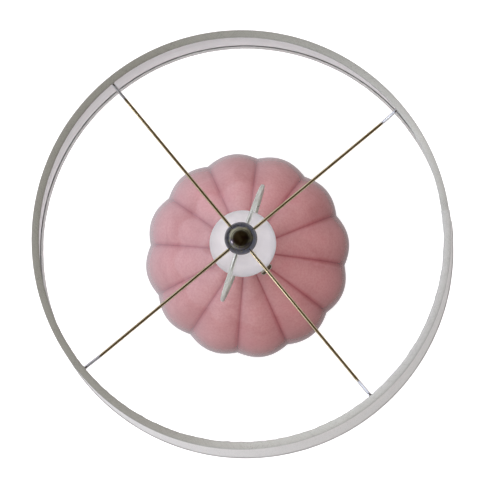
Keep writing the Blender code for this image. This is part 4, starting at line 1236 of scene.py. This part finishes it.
plate_low, plate_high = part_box("bulb_led_plate")
PACKAGE_HEIGHT = 0.0007
FILM = 0.00005                              # solder under a package
moulded("phosphor", "cerium phosphor in silicone", "e8c64a", "dcb83c", 0.45)
DIODES = diode_tree()
for name, width, lift, finish in (("diode_packages", 0.0030, 0.0, "white_plastic"),
                                  ("diode_windows", 0.0021, 0.0003, "phosphor")):
    made = through_nodes(bpy.data.meshes.new(name), DIODES, width=width,
                         height=plate_high.z + PACKAGE_HEIGHT / 2 + lift + FILM,
                         thickness=PACKAGE_HEIGHT, finish=FINISHES[finish])
    piece(name, made, "bulb", "white_plastic", finish=finish)
print("12 diodes at", round(plate_high.z * 1000, 1), "mm")

# %% [markdown]
# ## The shade's frame
# Two rings of wire hold the shade in shape. The top ring carries the spider: four arms that lie level
# from the hub almost to the rim, then climb to meet the ring. Each arm is spot-welded at both ends,
# and a little bead of weld metal shows at the ring. The beads are blobs instanced on the four joints,
# roughened by a noise with a fixed seed.

# %% Rings and arms
RING_WIRE = 0.00115
ARM_WIRE = 0.0014
ARM_ANGLE = 39.5                            # degrees, the first of four arms a quarter turn apart
ARM_RISE = 0.0155                           # the outer stretch that climbs to the ring
ARM_START = 0.0096                          # radius, inside the hub's rim
GAP = 0.0003
ring_low, ring_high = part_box("shade_top_ring")
RING_RADIUS = ring_high.x - RING_WIRE
RING_HEIGHT = (ring_low.z + ring_high.z) / 2
ARM_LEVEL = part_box("spider_arm_1")[0].z + ARM_WIRE


def ring(node):
    low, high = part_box(node)
    middle = Vector((high.x - RING_WIRE, (low.z + high.z) / 2))
    turns = [math.tau * step / 16 for step in range(16)]
    section = [middle + Vector((math.cos(t), math.sin(t))) * RING_WIRE for t in turns]
    mesh = spun(node, section, False, 256)
    piece(f"{node}_wire", mesh, "shade", "zinc_steel", node)


def arm(number):
    angle = ARM_ANGLE + 90 * number
    tip = RING_RADIUS - RING_WIRE * 0.7
    bend = RING_RADIUS - RING_WIRE - GAP - ARM_RISE
    path = filleted([Vector(p) for p in [
        (ARM_START, ARM_LEVEL), (bend - 0.004, ARM_LEVEL), (bend, ARM_LEVEL + 0.0009),
        (bend + 0.0035, ARM_LEVEL + 0.0033), (tip - 0.0025, RING_HEIGHT - 0.0007),
        (tip, RING_HEIGHT - 0.0004)]], 0.0025)
    mesh = bent_wire("arm", path, angle, ARM_WIRE)
    piece(f"arm_{number + 1}", mesh, "shade", "zinc_steel", f"spider_arm_{number + 1}",
          finish="warm_plate")


def bead_tree():
    add, given = new_geometry_tree("weld beads", {
        "Count": 4, "Ring Radius": 0.1, "Height": 0.5, "First Angle": 0.0, "Bead Radius": 0.002,
        "Roughness": 0.0004, "Seed": 3, "Finish": None})
    bead = add("GeometryNodeMeshIcoSphere", {"Radius": given["Bead Radius"], "Subdivisions": 4})
    flat = add("GeometryNodeTransform", {"Geometry": bead, "Scale": (0.9, 1.25, 0.62)})
    placed = round_the_axis(add, given, flat, given["First Angle"])
    real = add("GeometryNodeRealizeInstances", {"Geometry": placed})
    lumps = add("ShaderNodeTexNoise", {"Scale": per_mm(1.6), "Detail": 2.0, "W": given["Seed"]},
                noise_dimensions='4D')
    centred = add("ShaderNodeVectorMath", {0: lumps.outputs["Color"], 1: (0.5, 0.5, 0.5)},
                  operation='SUBTRACT')
    push = add("ShaderNodeVectorMath", {0: centred, "Scale": given["Roughness"]}, operation='SCALE')
    lumpy = add("GeometryNodeSetPosition", {"Geometry": real, "Offset": push})
    return end_geometry_tree(add, lumpy, given["Finish"])


for node in ("shade_top_ring", "shade_bottom_ring"):
    ring(node)
for number in range(4):
    arm(number)
BEADS = bead_tree()
beads = through_nodes(bpy.data.meshes.new("beads"), BEADS, ring_radius=RING_RADIUS - RING_WIRE,
                      height=RING_HEIGHT - 0.0006, first_angle=math.radians(ARM_ANGLE),
                      bead_radius=0.0017, roughness=0.0007, finish=FINISHES["zinc_steel"])
piece("weld_beads", faced_outwards(beads), "shade", "zinc_steel")
print(f"ring radius {RING_RADIUS * 1000:.1f} mm, arms at {ARM_LEVEL * 1000:.1f} mm")

# %% [markdown]
# ## Cloth on the shade
# The cover is one piece of linen, cut as a flat sector, bonded to the liner and lapped on itself where
# its ends meet. The rims are finished with bias tape, folded over the ring and glued inside. Both are
# strips wound once round the shade, so one function makes them: it walks round the axis, asks for the
# strip's cross line at each angle, and lays a grid of points with a UV map in real metres. A Solidify
# modifier then gives the cloth its thickness, inwards, and closes it.
#
# Where the ends lap, the strip climbs over its own start by its thickness. The tape is wavy: it is
# stretched round a curve, so its inner leg puckers, more so on one side, and it arches over each arm.

# %% Wind a strip of cloth
trim_low, trim_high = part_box("top_trim")
foot_low, foot_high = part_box("bottom_trim")
TOP, BOTTOM = trim_high.z, foot_low.z
SEAM_ANGLE = 5.0                            # degrees, where the cover and the tapes are lapped


def raised(line, climb):
    """A cross line moved away from the shade by a climb, on whichever side each point lies."""
    last = len(line) - 1
    runs = [line[min(i + 1, last)] - line[max(i - 1, 0)] for i in range(last + 1)]
    side = math.copysign(1.0, runs[0].y)
    return [point + Vector((run.y, -run.x)).normalized() * side * climb
            for point, run in zip(line, runs)]


def wound_strip(name, columns, lap, lift, thickness, line_at):
    """A closed strip of cloth round the shade. line_at(angle) gives (radius, height) points."""
    sweep = math.tau * (1 + lap)
    rows, distances = [], []
    travelled, before = 0.0, None
    for column in range(columns + 1):
        share = column / columns
        angle = math.radians(SEAM_ANGLE) + sweep * share
        over = min(max((share * (1 + lap) - (1 - lap)) / (lap * 0.8), 0.0), 1.0)
        climb = lift * over * over * (3 - 2 * over)
        line = [Vector((radius * math.cos(angle), radius * math.sin(angle), height))
                for radius, height in raised([*map(Vector, line_at(angle))], climb)]
        travelled += (line[0] - before).length if before else 0.0
        before = line[0]
        rows.append(line)
        distances.append(travelled)
    count = len(rows[0])
    vertices = [point for row in rows for point in row]
    faces, metres = [], []
    for column in range(columns):
        heights = [0.0]
        for start, end in zip(rows[column], rows[column][1:]):
            heights.append(heights[-1] + (end - start).length)
        for row in range(count - 1):
            a = column * count + row
            faces.append((a, a + count, a + count + 1, a + 1))
            metres += [(distances[column], heights[row]), (distances[column + 1], heights[row]),
                       (distances[column + 1], heights[row + 1]), (distances[column], heights[row + 1])]
    mesh = bpy.data.meshes.new(name)
    mesh.from_pydata(vertices, [], faces)
    layer = mesh.uv_layers.new(name="metres")
    for loop, metre in zip(layer.data, metres):
        loop.uv = metre
    middle = mesh.polygons[len(mesh.polygons) // 2]
    outward = middle.normal.dot(middle.center * Vector((1, 1, 0)))
    holder = linked("work", mesh)
    wall = holder.modifiers.new("cloth", 'SOLIDIFY')
    wall.thickness = thickness
    wall.offset = -1.0 if outward > 0 else 1.0
    mesh = evaluated_mesh(holder)
    return crisp(mesh, 60), travelled


def cone_radius(height, inset=0.0):
    """The shade's radius at a height, less an inset from its outermost face."""
    return trim_high.x + (foot_high.x - trim_high.x) * (TOP - height) / (TOP - BOTTOM) - inset


print(f"shade {2000 * cone_radius(TOP):.0f} mm across its top, {2000 * cone_radius(BOTTOM):.0f} mm below")

# %% [markdown]
# The cover's cut is a sector of a ring, so its flat area is the mean of its two edge lengths times its
# slant height. It is stretched round the two rings, with a ripple of a tenth of a millimetre left in
# it, which is just enough for a raking light to find.

# %% Linen cover
CLOTH = 0.0004
LAP = 0.010
COVER_ROWS = 28


def cover_line(angle):
    low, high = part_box("shade_cover")
    line = []
    for row in range(COVER_ROWS + 1):
        height = low.z + (high.z - low.z) * row / COVER_ROWS
        spot = Vector((math.cos(angle), math.sin(angle), height * 6)) * 4
        ripple = 0.00010 * noise.noise(spot)
        line.append((cone_radius(height, CLOTH + GAP) + ripple, height))
    return line


mesh, length = wound_strip("cover", 720, LAP, CLOTH + 0.00005, CLOTH, cover_line)
cover = piece("linen_cover", mesh, "shade", "linen", "shade_cover")

# %% [markdown]
# The tape's cross line goes up the outside, over the rim and down round the ring wire, and tucks under
# it. The lower tape's edge reaches all the way back to the liner, so it hides its wire from above. The
# crown is not sharp, because the cloth rolls over the wire. Puckers are a noise that grows along the
# line, so the outer leg lies flat while the inner leg and its edge waver. Each arm of the spider meets
# the ring inside the rim, so there the inner leg is snipped short and arches over it.

# %% Rim tapes
PUCKER = 0.00022
SNIP = 0.0026                               # half the width of the arch over an arm
TUCK = 0.0010                               # how far the upper tape's edge turns under its wire
OUTER_LEG, ROLL, INNER_LEG = 0.0126, 0.0013, 0.0048
SNIPPED_LEG = 0.0009                        # the inner leg where it arches over an arm
UNEVEN = 0.0004                             # how much the glued edge strays
LOOSE_SIDE = 305                            # degrees, where the tape was stretched least
ARMS = [math.radians(ARM_ANGLE + 90 * number) for number in range(4)]


def tape_line(edge, inward, ring_node, arms, reach):
    """A function of angle that gives the tape's cross line, from its outer edge to its tuck."""
    low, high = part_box(ring_node)
    wire_in = high.x - 2 * RING_WIRE

    def line_at(angle):
        inner = wire_in - GAP - CLOTH
        near_arm = min((abs(math.remainder(angle - arm, math.tau)) for arm in arms), default=9.0)
        opened = min(max(1.6 - near_arm * inner / SNIP, 0.0), 1.0)
        opened = opened * opened * (3 - 2 * opened)
        leg = INNER_LEG * (1 - opened) + SNIPPED_LEG * opened
        uneven = UNEVEN * noise.noise(Vector((math.cos(angle), math.sin(angle), 0.3)) * 9)
        points = []
        for step in range(7):
            down = OUTER_LEG + uneven - (OUTER_LEG + uneven - ROLL) * step / 6
            height = edge + inward * down
            points.append((cone_radius(height), height))
        start, end = cone_radius(edge), inner
        for step in range(1, 9):
            turn = math.pi * step / 9
            across = start + (end - start) * (1 - math.cos(turn)) / 2
            points.append((across, edge + inward * ROLL * (1 - math.sin(turn) ** 0.7)))
        for step in range(7):
            down = ROLL + (leg - ROLL) * step / 6 if leg > ROLL else ROLL * (1 - step / 12)
            tuck = reach * max(step / 6 - 0.6, 0.0) / 0.4 * (1 - opened)
            points.append((inner + tuck, edge + inward * down))
        where = Vector((math.cos(angle), math.sin(angle), 0)) * 0.19
        loose = 0.55 + 0.45 * math.cos(angle - math.radians(LOOSE_SIDE))
        wavered = []
        for place, (radius, height) in enumerate(points):
            share = max((place - 4) / (len(points) - 5), 0.0)
            fine = noise.noise((where + Vector((0, 0, height))) * per_mm(5))
            broad = noise.noise((where + Vector((0, 0, height * 0.3))) * per_mm(11))
            push = PUCKER * (0.25 + 1.6 * share * loose) * (fine + broad)
            wavered.append((radius + push * (0.3 + share), height + inward * abs(push) * 0.8))
        return wavered

    return line_at


# The upper tape takes the painted shade of its finish; the lower tape has none.
for name, node, ring_node, edge, inward, arms, reach, finish in (
        ("top_rim_tape", "top_trim", "shade_top_ring", TOP, -1, ARMS, TUCK, "rim_tape"),
        ("bottom_rim_tape", "bottom_trim", "shade_bottom_ring", BOTTOM, 1, [],
         2 * RING_WIRE - CLOTH, "unshaded_tape")):
    line_at = tape_line(edge, inward, ring_node, arms, reach)
    mesh, length = wound_strip(name, 1080, 0.008, CLOTH + 0.00005, CLOTH, line_at)
    line = [Vector(point) for point in line_at(math.pi)]
    width = sum((after - before).length for before, after in zip(line, line[1:]))
    tape = piece(name, mesh, "shade", "rim_tape", node, finish=finish)
    print(f"{name}: {length:.3f} m of tape {width * 1000:.1f} mm wide")

# %% [markdown]
# ## The felt foot
# A disc of pressed felt is glued under the foot ring to save the table. It is punched from sheet, so
# its face is flat and its cut edge is soft and a little ragged. It is turned like the other parts, and
# the edge is then roughened by moving its points with noise, never below the table.

# %% Felt disc
FELT_FRAY, FELT_NAP = 0.00025, 0.00012
FELT_EDGE = 0.0012                          # the width of the frayed rim

outline, is_open = section_of("felt_pad")
felt_low, felt_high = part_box("felt_pad")
FELT_RADIUS = felt_high.x
mesh = spun("felt", divided(refined(outline, is_open, 0.0007), is_open, 0.0030), is_open, 256)
for vertex in mesh.vertices:
    reach = vertex.co.xy.length
    if reach > FELT_RADIUS - FELT_EDGE:
        fray = FELT_FRAY * (noise.noise(vertex.co * per_mm(1.3)) - 0.6)
        vertex.co.xy *= 1 + fray / reach
    elif vertex.co.z > felt_high.z / 2:
        vertex.co.z += FELT_NAP * (noise.noise(vertex.co * per_mm(4)) - 0.7)
felt = piece("felt_disc", faced_outwards(mesh), "lamp_base", "black_felt", "felt_pad")
print(f"felt disc {2000 * FELT_RADIUS:.0f} mm across")

# %% [markdown]
# ## Parts kept as they are
# A few plain moulded or stamped parts deep in the holder and the bulb already have the right shape:
# the switch's moulded body, the centre contact's tongue and the bulb's driver board. They keep the
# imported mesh, and take the finishes of this lesson through their material slots.

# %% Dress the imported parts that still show
kept = [node for node, part in NODES.items() if not part.hide_render]
for node in kept:
    for slot in NODES[node].material_slots:
        slot.material = FINISHES[SLOT_OF[node]]
print("packed parts dressed:", ", ".join(kept))
